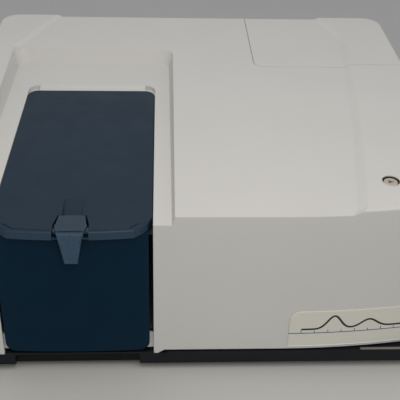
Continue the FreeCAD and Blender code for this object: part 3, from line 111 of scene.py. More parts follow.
class BadgeSizes(bpy.types.PropertyGroup):
    """The plate on the bowed right front, and what is printed on it."""

    bow_start: length("Bow start", "Where the front starts to curve back, along X", 74.5 * MM)
    bow_radius: length("Bow radius", "Radius of the bowed front", 814 * MM)
    left: length("Left", "Left end of the plate", 80 * MM)
    right: length("Right", "Right end of the plate", 206 * MM)
    bottom: length("Bottom", "Lower edge of the plate", 27.2 * MM)
    top: length("Top", "Upper edge of the plate", 70 * MM)
    corner: length("Corner", "Radius of the upper corners", 11 * MM)
    thickness: length("Thickness", "Thickness of the plate", 0.6 * MM)
    line: length("Line", "Height of the blue line's middle", 43.8 * MM)
    line_width: length("Line width", "Width of the blue line", 0.9 * MM)
    rim_gap: length("Rim gap", "From the lower edge to the pale rim", 0.4 * MM)
    rim_width: length("Rim width", "Width of the pale rim", 1.2 * MM)
    curve_left: length("Curve left", "Where the printed curve starts", 92 * MM)
    curve_right: length("Curve right", "Where the printed curve ends", 196 * MM)
    curve_foot: length("Curve foot", "Height of the printed curve's feet", 48.5 * MM)
    curve_rise: length("Curve rise", "Height of the curve's tallest peak over its feet", 15 * MM)
    stroke: length("Stroke", "Width of the printed curve", 2.0 * MM)
    ticks: IntProperty(name="Ticks", description="Number of ticks on the blue line", default=9, min=2)
    tick_width: length("Tick width", "Width of a tick", 0.6 * MM)
    tick_long: length("Long tick", "Height of every other tick", 3.2 * MM)
    tick_short: length("Short tick", "Height of the ticks between", 2.4 * MM)
    ground: colour("Ground", "Satin cream of the plate", srgb(214, 212, 202))
    blue: colour("Blue", "Blue of the line", srgb(52, 98, 140))
    ink: colour("Ink", "Dark ink of the curve", srgb(16, 24, 38))


class ButtonSizes(bpy.types.PropertyGroup):
    """The mark on the start button."""

    slope: rising("Slope", "Rise of the shoulder towards the back, per length", 0.086)
    cap_edge: length("Cap edge", "How far the cap's rounded edge reaches in", 0.8 * MM)
    mark_width: length("Mark width", "Width of the start mark", 5.2 * MM)
    mark_depth: length("Mark depth", "Front to back of the start mark", 5.0 * MM)
    cap: colour("Cap", "Warm grey of the cap", srgb(178, 171, 160))
    # Painted shade: the dark painted in the well round the cap, where shade falls.
    well: colour("Well", "Shade of the well round the cap", srgb(62, 58, 52))
    ink: colour("Ink", "Ink of the start mark", srgb(92, 84, 74))


class ScrewSizes(bpy.types.PropertyGroup):
    """Screw heads on the casing's sides and on the rear panel."""

    head: length("Head", "Radius of a countersunk head", 3.3 * MM)
    shank: length("Shank", "Radius of the shank", 1.55 * MM)
    head_depth: length("Head depth", "Depth of the countersunk head", 1.8 * MM)
    reach: length("Reach", "Length of the screw", 6 * MM)
    pan_head: length("Pan head", "Radius of a rear panel screw's head", 3.0 * MM)
    pan_height: length("Pan height", "Height of a rear panel screw's head", 1.6 * MM)
    recess: length("Recess", "Depth of the cross recess", 0.9 * MM)
    panel_x: length("Panel screws across", "From the middle to the rear panel's screws", 203 * MM)
    panel_z: FloatVectorProperty(name="Panel screw heights", description="Heights of the rear panel's screws",
                                 default=(38 * MM, 112 * MM, 186 * MM), unit="LENGTH")


class TrimSizes(bpy.types.PropertyGroup):
    """The black trim that closes the gap between the compartment's tub and the casing."""

    front_z: length("Front height", "Height of the sunk rim at the front", 166 * MM)
    slope: rising("Slope", "Rise of the rim towards the back, per length", 0.067)
    drop: length("Drop", "How far the trim lies below the rim", 11.5 * MM)
    thickness: length("Thickness", "Thickness of the trim", 1 * MM)
    reach: length("Reach", "From the tub's wall to the casing's opening", 5.4 * MM)
    lip: length("Lip", "How far the side strips turn up to the casing's underside", 8.3 * MM)
    magnet_gap: length("Magnet gap", "Half the gap left for the latch's magnet", 10.6 * MM)
    well_depth: length("Well depth", "Depth of the hinge well below the rim", 23 * MM)
    well_length: length("Well length", "Front to back of the hinge well", 20 * MM)
    well_wall: length("Well wall", "Height of the hinge well's back wall", 14.5 * MM)
    well_corner: length("Well corner", "Size of the bevel at the foot of that wall", 1.5 * MM)


class RearSizes(bpy.types.PropertyGroup):
    """Plates and marks at the back and on the base's ledge."""

    plate_left: length("Rating plate left", "Left end of the bare rating plate, along X", -20 * MM)
    plate_width: length("Rating plate width", "Width of the bare rating plate", 72 * MM)
    plate_bottom: length("Rating plate bottom", "Lower edge of the bare rating plate", 44 * MM)
    plate_height: length("Rating plate height", "Height of the bare rating plate", 40 * MM)
    serial_left: length("Serial plate left", "Left end of the bare plate on the ledge", 152.7 * MM)
    serial_right: length("Serial plate right", "Right end of the bare plate on the ledge", 206 * MM)
    serial_width: length("Serial plate width", "Width of the bare plate on the ledge", 3.1 * MM)
    ledge: length("Ledge", "Height of the base's front ledge over its underside", 14 * MM)
    fan_x: length("Fan across", "Middle of the fan, along X", 156 * MM)
    fan_z: length("Fan height", "Middle of the fan, along Z", 118 * MM)
    fan_hole: length("Fan hole", "From the fan's middle to its screws, along X and Z", 25 * MM)
    guard_ring: length("Guard ring", "Radius of the guard's outer ring", 29 * MM)
    guard_step: length("Guard step", "From one ring of the guard to the next", 6.8 * MM)
    guard_wire: length("Guard wire", "Radius of the guard's wire", 0.85 * MM)
    guard_eye: length("Guard eye", "Radius of the eyes that hold the guard's screws", 3.5 * MM)
    rocker_tilt: angle("Rocker tilt", "How far the rocker leans at rest", -8)
    rocker_z: length("Rocker height", "Height of the rocker's pivot", 66 * MM)
    rocker_depth: length("Rocker depth", "From the rear panel in to the rocker's pivot", 8 * MM)
    rocker_face: length("Rocker face", "From the rocker's pivot out to the middle of its face", 6.6 * MM)
    rocker_half: length("Rocker half", "Height of one half of the rocker's face", 9 * MM)
    rocker_rise: length("Rocker rise", "How far the face's ends stand out over its middle", 1.6 * MM)
    mark_reach: length("Mark reach", "From the face's middle to each mark's middle", 5 * MM)


class StageSettings(bpy.types.PropertyGroup):
    """Camera, lamps and floor."""

    camera: FloatVectorProperty(name="Camera", description="Place of the camera", subtype="XYZ", unit="LENGTH",
                                default=(-40.5 * MM, -772.9 * MM, 531.3 * MM))
    pitch: angle("Pitch", "How far the camera looks down", 30.9)
    yaw: angle("Yaw", "How far the camera looks to the right", 3.296)
    roll: angle("Roll", "How far the camera leans", 1.678)
    lens: FloatProperty(name="Lens", description="Focal length on a 36 mm sensor, in millimetres", default=70.02)
    floor: colour("Floor", "Pale floor", srgb(192, 192, 190))
    floor_reach: length("Floor reach", "From the middle to the floor's edges", 6.0)
    sky: FloatProperty(name="Sky", description="Strength of the even light", default=0.5)
    sky_tint: colour("Sky tint", "Tint of the even light", (0.955, 0.965, 1.0))
    key: FloatProperty(name="Key", description="Power of the overhead lamp, in watts", default=4.0)
    lamp: FloatVectorProperty(name="Lamp", description="Place of the overhead lamp", subtype="XYZ", unit="LENGTH",
                              default=(0.03, -0.54, 0.88))
    lamp_aim: FloatVectorProperty(name="Lamp aim", description="Point that the overhead lamp faces", subtype="XYZ",
                                  unit="LENGTH", default=(0, 0, 0.1))
    lamp_width: length("Lamp width", "Width of the overhead lamp", 0.25)
    lamp_length: length("Lamp length", "Length of the overhead lamp, front to back", 1.0)
    key_tint: colour("Key tint", "Tint of the overhead lamp", (1.0, 0.95, 0.83))


class Shader:
    """Builds one node material a node at a time."""

    def __init__(self, name):
        self.material = bpy.data.materials.new(name)
        self.material.use_nodes = True
        self.tree = self.material.node_tree
        self.principled = self.tree.nodes["Principled BSDF"]
        self.object = self.add("ShaderNodeTexCoord").outputs["Object"]

    def add(self, kind, inputs=(), **settings):
        """A node with its sockets set or linked, and its settings."""
        node = self.tree.nodes.new(kind)
        for key, value in settings.items():
            setattr(node, key, value)
        for socket, value in dict(inputs).items():
            if isinstance(value, bpy.types.NodeSocket):
                self.tree.links.new(value, node.inputs[socket])
            else:
                node.inputs[socket].default_value = value
        return node

    def link(self, value, socket):
        """Lead a value into one of the surface's own sockets."""
        self.tree.links.new(value, self.principled.inputs[socket])

    def noise(self, size, detail=2.0, roughness=0.5):
        """Noise whose bumps are about one size wide."""
        return self.add("ShaderNodeTexNoise", {"Vector": self.object, "Scale": 1 / size, "Detail": detail,
                                               "Roughness": roughness}).outputs["Fac"]

    def spread(self, value, low, high, least=0.0, most=1.0):
        """A value's stretch from low to high, spread from least to most."""
        return self.add("ShaderNodeMapRange", {"Value": value, "From Min": low, "From Max": high,
                                               "To Min": least, "To Max": most}).outputs["Result"]

    def mix(self, factor, first, second):
        """The first colour turning into the second as the factor goes from 0 to 1."""
        node = self.add("ShaderNodeMix", data_type="RGBA")
        for socket, value in ((0, factor), (6, first), (7, second)):
            if isinstance(value, bpy.types.NodeSocket):
                self.tree.links.new(value, node.inputs[socket])
            else:
                node.inputs[socket].default_value = value
        return node.outputs[2]

    def facing(self, axis, low, high):
        """0 to 1 as the object's own normal turns along one axis from low to high."""
        normal = self.add("ShaderNodeTexCoord").outputs["Normal"]
        part = self.add("ShaderNodeSeparateXYZ", {"Vector": normal}).outputs[axis]
        return self.spread(part, low, high)

    def along(self, direction, low, high):
        """0 to 1 as a point moves along a direction from low to high."""
        part = self.add("ShaderNodeVectorMath", {0: self.object, 1: direction}, operation="DOT_PRODUCT")
        return self.spread(part.outputs["Value"], low, high)

    def times(self, first, second):
        """The product of two values."""
        return self.add("ShaderNodeMath", {0: first, 1: second}, operation="MULTIPLY").outputs["Value"]

    def edge_highlight(self, radius, low=0.004, high=0.1):
        """0 on flat faces to 1 on edges sharper than a radius."""
        flat = self.add("ShaderNodeNewGeometry").outputs["Normal"]
        same = self.add("ShaderNodeVectorMath", {0: self.rounded(radius), 1: flat}, operation="DOT_PRODUCT")
        return self.spread(same.outputs["Value"], 1 - low, 1 - high)

    def bump(self, height, depth, normal=None):
        """Normals of a relief that is depth deep where height goes from 0 to 1."""
        inputs = {"Height": height, "Distance": depth, "Strength": 1.0}
        if normal is not None:
            inputs["Normal"] = normal
        return self.add("ShaderNodeBump", inputs).outputs["Normal"]

    def rounded(self, radius):
        """Normals that turn smoothly over each edge."""
        return self.add("ShaderNodeBevel", {"Radius": radius}, samples=6).outputs["Normal"]


def opaque(tint):
    """A colour with its alpha."""
    return (*tuple(tint)[:3], 1.0)


def shaded(tint, factor):
    """A colour made lighter or darker by a factor."""
    return opaque([min(1.0, channel * factor) for channel in tuple(tint)[:3]])


def moulding(name, tint, grain, roughness, specular=0.35, mottle=0.05, depth=0.02 * MM, edge=0.6 * MM, front=None,
             painted_shade=None):
    """Moulded plastic: soft mottling, a fine pebble texture and rounded edges.

    front is a lighter tone painted on the faces turned to the user, as a painted highlight. The last argument gives
    the X range and the nearest Y of a recess that is painted near black, as painted shade."""
    s = Shader(name)
    cloud = s.spread(s.noise(70 * MM, 3), 0.3, 0.7)
    fleck = s.spread(s.noise(grain, 1), 0.25, 0.75)
    tone = s.mix(cloud, shaded(tint, 1 - mottle), shaded(tint, 1 + mottle))
    if front is not None:
        # Painted highlight: faces turned to the user take the lighter front tone.
        tone = s.mix(s.facing("Y", -0.5, -0.9), tone, opaque(front))
    if painted_shade is not None:
        # Painted shade: faces within the given X range that lie behind the given Y are painted near black.
        left, right, near = painted_shade
        across = s.times(s.along((1, 0, 0), left - 1 * MM, left), s.along((-1, 0, 0), -right - 1 * MM, -right))
        tone = s.mix(s.times(across, s.along((0, 1, 0), near, near + 0.1 * MM)), tone, shaded(tint, 0.1))
    s.link(s.mix(fleck, tone, s.mix(0.5, tone, shaded(tint, 1 - 1.5 * mottle))), "Base Color")
    s.link(s.spread(s.noise(25 * MM, 2), 0.3, 0.7, roughness - 0.05, roughness + 0.05), "Roughness")
    s.principled.inputs["Specular IOR Level"].default_value = specular
    s.link(s.bump(fleck, depth, s.rounded(edge)), "Normal")
    return s.material


def speckled(name, tint, front, edge):
    """Slate moulding with pale and dark speckles, with a painted highlight on the faces turned to the front and a
    painted highlight along its edges.
    """
    s = Shader(name)
    speckle = s.spread(s.noise(1.1 * MM, 3, 0.7), 0.38, 0.62)
    # Painted highlight: faces turned to the front take the lighter front tone.
    turn = s.facing("Y", -0.5, -0.9)
    tone = s.mix(speckle, s.mix(turn, shaded(tint, 0.68), shaded(front, 0.68)),
                 s.mix(turn, shaded(tint, 1.32), shaded(front, 1.32)))
    # Painted highlight: edges sharper than the radius are painted much lighter.
    s.link(s.mix(s.edge_highlight(1.6 * edge), tone, shaded(tint, 2.1)), "Base Color")
    s.link(s.spread(speckle, 0, 1, 0.42, 0.6), "Roughness")
    s.principled.inputs["Specular IOR Level"].default_value = 0.4
    s.link(s.bump(speckle, 0.03 * MM, s.rounded(edge)), "Normal")
    return s.material


def metal(name, tint, roughness, stretch=(1, 1, 1), scratch=0.4 * MM, depth=0.004 * MM, dirt=0.12):
    """Bare metal: brushed or blasted by how its noise is stretched, with faint dirt."""
    s = Shader(name)
    mapping = s.add("ShaderNodeMapping", {"Vector": s.object, "Scale": stretch})
    lines = s.add("ShaderNodeTexNoise", {"Vector": mapping.outputs["Vector"], "Scale": 1 / scratch,
                                         "Detail": 3.0}).outputs["Fac"]
    cloud = s.spread(s.noise(18 * MM, 3), 0.35, 0.7)
    s.link(s.mix(cloud, opaque(tint), shaded(tint, 1 - dirt)), "Base Color")
    s.link(s.spread(lines, 0.3, 0.7, roughness * 0.8, min(1.0, roughness * 1.2)), "Roughness")
    s.principled.inputs["Metallic"].default_value = 1.0
    s.link(s.bump(lines, depth, s.rounded(0.25 * MM)), "Normal")
    return s.material


def coated(name, tint, roughness=0.5):
    """Powder coating: a fine orange peel over sheet metal."""
    s = Shader(name)
    peel = s.noise(0.8 * MM, 2)
    cloud = s.spread(s.noise(40 * MM, 3), 0.3, 0.7)
    s.link(s.mix(cloud, shaded(tint, 0.95), shaded(tint, 1.04)), "Base Color")
    s.link(s.spread(peel, 0.3, 0.7, roughness - 0.06, roughness + 0.06), "Roughness")
    s.link(s.bump(peel, 0.03 * MM, s.rounded(0.3 * MM)), "Normal")
    return s.material


def rubber(name, tint):
    """Matt rubber with a dusty bloom."""
    s = Shader(name)
    bloom = s.spread(s.noise(9 * MM, 4, 0.6), 0.45, 0.75)
    s.link(s.mix(bloom, opaque(tint), shaded(tint, 2.2)), "Base Color")
    s.link(s.spread(bloom, 0, 1, 0.75, 0.92), "Roughness")
    s.principled.inputs["Specular IOR Level"].default_value = 0.3
    s.link(s.bump(s.noise(0.7 * MM, 2), 0.04 * MM), "Normal")
    return s.material


def foam(name, tint):
    """Open foam of the light seal: deep pores."""
    s = Shader(name)
    cells = s.add("ShaderNodeTexVoronoi", {"Vector": s.object, "Scale": 1 / (0.9 * MM)}).outputs["Distance"]
    s.link(s.mix(s.spread(cells, 0, 0.7), shaded(tint, 0.4), shaded(tint, 1.6)), "Base Color")
    s.principled.inputs["Roughness"].default_value = 0.95
    s.link(s.bump(cells, 0.25 * MM), "Normal")
    return s.material


def board(name, tint):
    """Printed circuit board: lacquer over a lattice of copper tracks."""
    s = Shader(name)
    tracks = s.add("ShaderNodeTexBrick", {"Vector": s.object, "Scale": 1 / (22 * MM), "Mortar Size": 0.03,
                                          "Color1": opaque(tint), "Color2": shaded(tint, 0.8),
                                          "Mortar": shaded(tint, 2.4)})
    s.link(tracks.outputs["Color"], "Base Color")
    s.link(s.spread(s.noise(6 * MM), 0.3, 0.7, 0.28, 0.42), "Roughness")
    s.link(s.bump(tracks.outputs["Fac"], 0.03 * MM), "Normal")
    return s.material


def quartz(name, tint):
    """Clear quartz with a trace of smear."""
    s = Shader(name)
    smear = s.spread(s.noise(7 * MM, 3), 0.4, 0.75, 0.02, 0.12)
    s.link(smear, "Roughness")
    s.link(s.mix(s.noise(12 * MM), opaque(tint), shaded(tint, 0.93)), "Base Color")
    s.principled.inputs["Transmission Weight"].default_value = 1.0
    s.principled.inputs["IOR"].default_value = 1.46
    return s.material


def optic(name, tint):
    """A coated mirror face with faint dust."""
    s = Shader(name)
    dust = s.spread(s.noise(1.6 * MM, 4, 0.7), 0.6, 0.8, 0.03, 0.25)
    s.link(dust, "Roughness")
    s.link(s.mix(s.noise(30 * MM), opaque(tint), shaded(tint, 0.92)), "Base Color")
    s.principled.inputs["Metallic"].default_value = 1.0
    return s.material


def print_ink(name, tint, roughness=0.4):
    """Screen print: an even coat with a slight grain."""
    s = Shader(name)
    grain = s.spread(s.noise(0.5 * MM, 2), 0.3, 0.7)
    s.link(s.mix(grain, shaded(tint, 0.95), shaded(tint, 1.05)), "Base Color")
    s.link(s.spread(grain, 0, 1, roughness - 0.05, roughness + 0.05), "Roughness")
    return s.material


def quads(index, close_u=False, close_v=False):
    """Faces over a grid of point numbers: rows run along u, columns along v, and either way may close on itself."""
    if close_u:
        index = np.vstack([index, index[:1]])
    if close_v:
        index = np.hstack([index, index[:, :1]])
    return np.stack([index[:-1, :-1], index[1:, :-1], index[1:, 1:], index[:-1, 1:]], axis=-1).reshape(-1, 4).tolist()


def numbered(first, rows, columns):
    """Point numbers of a grid, counted on from the first."""
    return first + np.arange(rows * columns).reshape(rows, columns)


def surface(name, points, body, material, close_u=False):
    """A piece that is one grid of points, which may close on itself along u."""
    faces = quads(numbered(0, *points.shape[:2]), close_u)
    return dress(name, points.reshape(-1, 3), faces, body, material)


def dress(name, points, faces, body, material):
    """A mesh of points and faces as a piece of the object, riding on a body."""
    mesh = bpy.data.meshes.new(name)
    mesh.from_pydata(points.tolist(), [], faces)
    mesh.materials.append(material)
    mesh.polygons.foreach_set("use_smooth", np.ones(len(mesh.polygons), bool))
    piece = bpy.data.objects.new(name, mesh)
    bpy.context.scene.collection.objects.link(piece)
    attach(piece, body)
    return piece


def thicken(piece, thickness, edge=0.0):
    """Give a sheet its wall, and break its sharp edges."""
    wall = piece.modifiers.new("wall", "SOLIDIFY")
    wall.thickness = thickness
    wall.offset = 1.0
    wall.use_even_offset = True
    if edge:
        bevel = piece.modifiers.new("edge", "BEVEL")
        bevel.width = edge
        bevel.segments = 2
        bevel.limit_method = "ANGLE"
    return piece


def turned(profile, places, name, body, material, sink):
    """Like solids of revolution, all in one piece: a profile of (height, radius), face first, turned about each axis.

    A place is (origin, axis). sink gives how far each point of the face is pressed in, from where it lies on it."""
    turn = np.linspace(0, FULL_TURN, 48, endpoint=False)
    height, radius = np.array(profile).T[..., None]
    across, along = radius * np.cos(turn), radius * np.sin(turn)
    lift = height - sink(across, along, height)
    points, faces = [], []
    for number, (origin, axis) in enumerate(places):
        axis = Vector(axis).normalized()
        side = axis.orthogonal().normalized()
        up = axis.cross(side)
        spread = sum(part[..., None] * np.array(way) for part, way in ((across, side), (along, up), (lift, axis)))
        points.append((np.array(origin) + spread).reshape(-1, 3))
        index = numbered(number * across.size, *across.shape)
        faces += quads(index, close_v=True) + [index[0].tolist(), index[-1, ::-1].tolist()]
    piece = dress(name, np.vstack(points), faces, body, material)
    shading = piece.modifiers.new("shading", "EDGE_SPLIT")
    shading.split_angle = math.radians(40)
    return piece


def wires(paths, radius, name, body, material):
    """Round wires, all in one piece: a circle carried along each path that is flat across Y, closed or open."""
    points, faces, count = [], [], 0
    turn = np.linspace(0, FULL_TURN, 12, endpoint=False)
    outward = np.array([0.0, 1.0, 0.0])
    for path, closed in paths:
        ahead = np.roll(path, -1, 0) - np.roll(path, 1, 0) if closed else np.gradient(path, axis=0)
        side = np.cross(ahead / np.linalg.norm(ahead, axis=1, keepdims=True), outward)
        rings = path[:, None] + radius * (np.cos(turn)[:, None] * side[:, None] + np.sin(turn)[:, None] * outward)
        index = numbered(count, len(path), len(turn))
        if not closed:
            faces += [index[0].tolist(), index[-1, ::-1].tolist()]
        faces += quads(index, closed, True)
        points.append(rings.reshape(-1, 3))
        count += index.size
    return dress(name, np.vstack(points), faces, body, material)


def circle(middle, radius, steps=72):
    """Points round an axis along Y."""
    turn = np.linspace(0, FULL_TURN, steps, endpoint=False)
    x, y, z = middle
    return np.stack([x + radius * np.cos(turn), np.full_like(turn, y), z + radius * np.sin(turn)], axis=-1)


def grid(across, along):
    """Two arrays that hold the u and the v of each point of a grid."""
    return np.meshgrid(across, along, indexing="ij")


def cross_recess(radius, depth):
    """How far a cross-shaped recess sinks each point of a screw's face: its arms slope up to their ends and sides."""
    arm_half, side_run, end_run = 0.3 * radius, 0.1 * radius, 0.35 * radius

    def sink(across, along, height):
        """Full depth where the point is near either axis and well inside the radius, none below the face."""
        inside = np.clip((radius - np.hypot(across, along)) / end_run, 0, 1)
        on_arm = np.clip((arm_half - np.minimum(np.abs(across), np.abs(along))) / side_run, 0, 1)
        return np.where(height >= 0, depth * inside * on_arm, 0)
    return sink


def paint(material, *nodes):
    """Give CAD nodes a material on their own slots."""
    for name in nodes:
        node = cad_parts[name]
        for slot in node.material_slots:
            slot.link = "OBJECT"
            slot.material = material
        if not node.material_slots:
            node.data.materials.append(material)


def bow_y(x, sizes):
    """Depth of the bowed front at x: straight up to the bow's start, then a circle."""
    run = np.maximum(x - sizes.bow_start, 0)
    return cover_low.y + sizes.bow_radius - np.sqrt(sizes.bow_radius ** 2 - run ** 2)


def on_front(x, z, lift, sizes):
    """Points on the bowed front, lifted off it towards the user."""
    return np.stack([x, bow_y(x, sizes) - lift, z], axis=-1)


class INSTRUMENT_OT_casing(bpy.types.Operator):
    """Finish the white casing, the dark base and the back"""

    bl_idname = "instrument.casing"
    bl_label = "Casing"

    def execute(self, context):
        look = context.scene.instrument_casing
        white = moulding("moulded_white", look.cover, look.grain, look.roughness, mottle=0.015,
                         edge=look.cover_edge)
        low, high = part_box("front_panel")
        # The recess under the front panel gets painted shade, near black.
        shade_below_panel = (low.x, high.x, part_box("base_tray")[0].y + 0.1 * MM)
        dark = moulding("moulded_base", look.base, look.grain, 0.6, specular=0.22, mottle=0.12, edge=look.edge,
                        painted_shade=shade_below_panel)
        paint(white, "main_cover", "lamp_cover")
        paint(dark, "base_tray")
        paint(coated("coated_sheet", srgb(176, 177, 174)), "rear_panel")
        paint(rubber("foot_rubber", srgb(28, 28, 29)), "rubber_feet", "bench_mounts")
        return {"FINISHED"}


class INSTRUMENT_OT_lid(bpy.types.Operator):
    """Finish the sample lid, the front panel and the latch"""

    bl_idname = "instrument.lid"
    bl_label = "Lid and latch"

    def execute(self, context):
        look = context.scene.instrument_casing
        # The lid's faces turned to the user carry a painted highlight in the lip tone.
        navy = moulding("moulded_navy", look.lid, look.grain, 0.5, specular=0.4, mottle=0.06, edge=look.edge,
                        front=look.lip)
        panel = moulding("panel_navy", look.lid, look.grain, 0.62, specular=0.1, mottle=0.06, edge=look.edge)
        paint(navy, "sample_lid")
        paint(panel, "front_panel")
        paint(speckled("speckled_slate", look.lever, look.tongue_highlight, look.edge), "lid_latch")
        steel = metal("turned_steel", srgb(176, 176, 174), 0.3)
        paint(steel, "latch_pin", "latch_spring", "catch_plate", "hinge_pins")
        paint(coated("bracket_black", srgb(34, 35, 37), 0.45), "hinge_brackets")
        paint(metal("nickel", srgb(170, 168, 160), 0.22), "catch_magnet")
        return {"FINISHED"}


class INSTRUMENT_OT_badge(bpy.types.Operator):
    """Make the plate on the bowed front with its lines and its plain curve"""

    bl_idname = "instrument.badge"
    bl_label = "Badge"

    def execute(self, context):
        sizes = context.scene.instrument_badge
        u, v = grid(np.linspace(0, 1, 60), np.linspace(0, 1, 40))
        z = sizes.bottom + v * (sizes.top - sizes.bottom)
        over_corner = np.maximum(z - (sizes.top - sizes.corner), 0)
        inset = sizes.corner - np.sqrt(np.maximum(sizes.corner ** 2 - over_corner ** 2, 0))
        x = sizes.left + inset + u * (sizes.right - sizes.left - 2 * inset)
        plate = surface("badge_plate", on_front(x, z, 0, sizes), "casing",
                        print_ink("badge_ground", sizes.ground, 0.45))
        thicken(plate, sizes.thickness)
        blue = print_ink("badge_blue", sizes.blue, 0.35)
        pale = print_ink("badge_pale", srgb(238, 238, 234), 0.3)
        for name, low, width, ink in (("badge_line", sizes.line - sizes.line_width / 2, sizes.line_width, blue),
                                      ("badge_rim", sizes.bottom + sizes.rim_gap, sizes.rim_width, pale)):
            z = low + v * width
            x = sizes.left + u * (sizes.right - sizes.left)
            strip = surface(name, on_front(x, z, sizes.thickness, sizes), "casing", ink)
            thicken(strip, PRINT_COAT)
        self.print_curve(sizes, print_ink("badge_ink", sizes.ink, 0.4))
        return {"FINISHED"}

    def print_curve(self, sizes, ink):
        """A plain absorption curve, with ticks along the blue line.

        It is a sum of bell curves, and the stroke's two edges lie square to its slope."""
        t, v = grid(np.linspace(0, 1, 240), np.linspace(-0.5, 0.5, 3))
        height = sum(tall * np.exp(-((t - place) / wide) ** 2) for tall, place, wide in CURVE_PEAKS)
        run = sizes.curve_right - sizes.curve_left
        slope = np.gradient(height[:, 0] * sizes.curve_rise, t[:, 0] * run)[:, None]
        lean = np.sqrt(1 + slope ** 2)
        x = sizes.curve_left + t * run - v * sizes.stroke * slope / lean
        z = sizes.curve_foot + height * sizes.curve_rise + v * sizes.stroke / lean
        curve = surface("badge_curve", on_front(x, z, sizes.thickness, sizes), "casing", ink)
        thicken(curve, PRINT_COAT)
        u, v = grid([-sizes.tick_width / 2, sizes.tick_width / 2], [0, 1])
        for index in range(sizes.ticks):
            x = sizes.curve_left + index * run / (sizes.ticks - 1) + u
            z = sizes.line + sizes.line_width / 2 + v * (sizes.tick_short if index % 2 else sizes.tick_long)
            tick = surface(f"badge_tick_{index}", on_front(x, z, sizes.thickness, sizes), "casing", ink)
            thicken(tick, PRINT_COAT)


class INSTRUMENT_OT_button(bpy.types.Operator):
    """Finish the start button"""

    bl_idname = "instrument.button"
    bl_label = "Start button"

    def execute(self, context):
        look = context.scene.instrument_casing
        sizes = context.scene.instrument_button
        paint(moulding("button_cap", sizes.cap, look.grain, 0.45, mottle=0.02, edge=0.4 * MM), "start_button")
        paint(self.bezel(look, sizes), "button_ring")
        paint(moulding("switch_black", srgb(22, 22, 23), look.grain, 0.5), "button_switch")
        low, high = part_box("start_button")
        middle = (low + high) / 2
        face_z = high.z - sizes.slope * ((high.y - low.y) / 2 - sizes.cap_edge)
        set_left, taper = 0.42, 0.94  # shares of the mark left of the cap's middle, and of its height lost at the tip
        u, v = grid(np.linspace(0, 1, 9), np.linspace(-0.5, 0.5, 9))
        x = middle.x + (u - set_left) * sizes.mark_width
        y = middle.y + v * sizes.mark_depth * (1 - taper * u)
        z = face_z + sizes.slope * (y - middle.y)
        mark = surface("start_mark", np.stack([x, y, z], axis=-1), "button",
                       print_ink("mark_ink", sizes.ink, 0.5))
        thicken(mark, 0.06 * MM)
        return {"FINISHED"}

    def bezel(self, look, sizes):
        """The casing's white on the ring's rim, and painted shade down in its well."""
        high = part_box("button_ring")[1]
        rim = high.z - sizes.slope * high.y
        s = Shader("button_bezel")
        # Painted shade: the ring is painted dark below its rim, down in the well.
        depth = s.along((0, -sizes.slope, 1), rim - 1.4 * MM, rim - 0.5 * MM)
        s.link(s.mix(depth, opaque(sizes.well), opaque(look.cover)), "Base Color")
        s.link(s.spread(s.noise(look.grain), 0.3, 0.7, 0.45, 0.55), "Roughness")
        s.link(s.rounded(0.3 * MM), "Normal")
        return s.material


class INSTRUMENT_OT_compartment(bpy.types.Operator):
    """Finish the sample compartment and what it holds"""

    bl_idname = "instrument.compartment"
    bl_label = "Sample compartment"

    def execute(self, context):
        black = metal("black_anodised", srgb(62, 62, 65), 0.5, scratch=0.5 * MM, depth=0.02 * MM, dirt=0.25)
        paint(black, "sample_chamber", "accessory_plate", "cell_holder")
        paint(foam("seal_foam", srgb(26, 26, 27)), "light_seal")
        paint(metal("knurled_steel", srgb(168, 168, 166), 0.3), "plate_thumbscrews")
        paint(quartz("window_quartz", srgb(236, 242, 246)), "beam_windows")
        self.add_trim(context.scene.instrument_trim, coated("trim_black", srgb(44, 45, 47), 0.55))
        return {"FINISHED"}

    def add_trim(self, sizes, material):
        """Flat strips beside and before the tub, and a well behind it that clears the lid's back edge.

        A strip's cross section is three points of (x, height over the strip), carried back along the rim's slope."""
        low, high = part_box("sample_chamber")
        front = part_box("front_panel")[1].y + 0.2 * MM
        left, right = low.x - sizes.reach, high.x + sizes.reach
        magnet = (low.x + high.x) / 2
        magnet_left, magnet_right = magnet - sizes.magnet_gap, magnet + sizes.magnet_gap
        midway = 30 * MM  # a third point of the front strips, which are flat
        sections = (("trim_left", ((low.x, 0), (left, 0), (left, sizes.lip)), high.y),
                    ("trim_right", ((right, sizes.lip), (right, 0), (high.x, 0)), high.y),
                    ("trim_front_left", ((magnet_left, 0), (magnet - midway, 0), (low.x, 0)), low.y),
                    ("trim_front_right", ((high.x, 0), (magnet + midway, 0), (magnet_right, 0)), low.y))
        for name, section, back in sections:
            y = np.linspace(front, back, 12)
            under_rim = sizes.front_z + sizes.slope * (y - cover_low.y) - sizes.drop
            points = np.stack([np.stack([np.full_like(y, x), y, under_rim + up], axis=-1) for x, up in section])
            thicken(surface(name, points, "casing", material), sizes.thickness)
        floor = sizes.front_z + sizes.slope * (high.y - cover_low.y) - sizes.well_depth
        back = high.y + sizes.well_length
        x, y = grid(np.linspace(left, right, 8), np.array([high.y, back - sizes.well_corner, back, back]))
        z = np.tile(np.array([floor, floor, floor + sizes.well_corner, floor + sizes.well_wall]), (8, 1))
        well = surface("trim_well", np.stack([x, y, z], axis=-1), "casing", material)
        thicken(well, sizes.thickness)


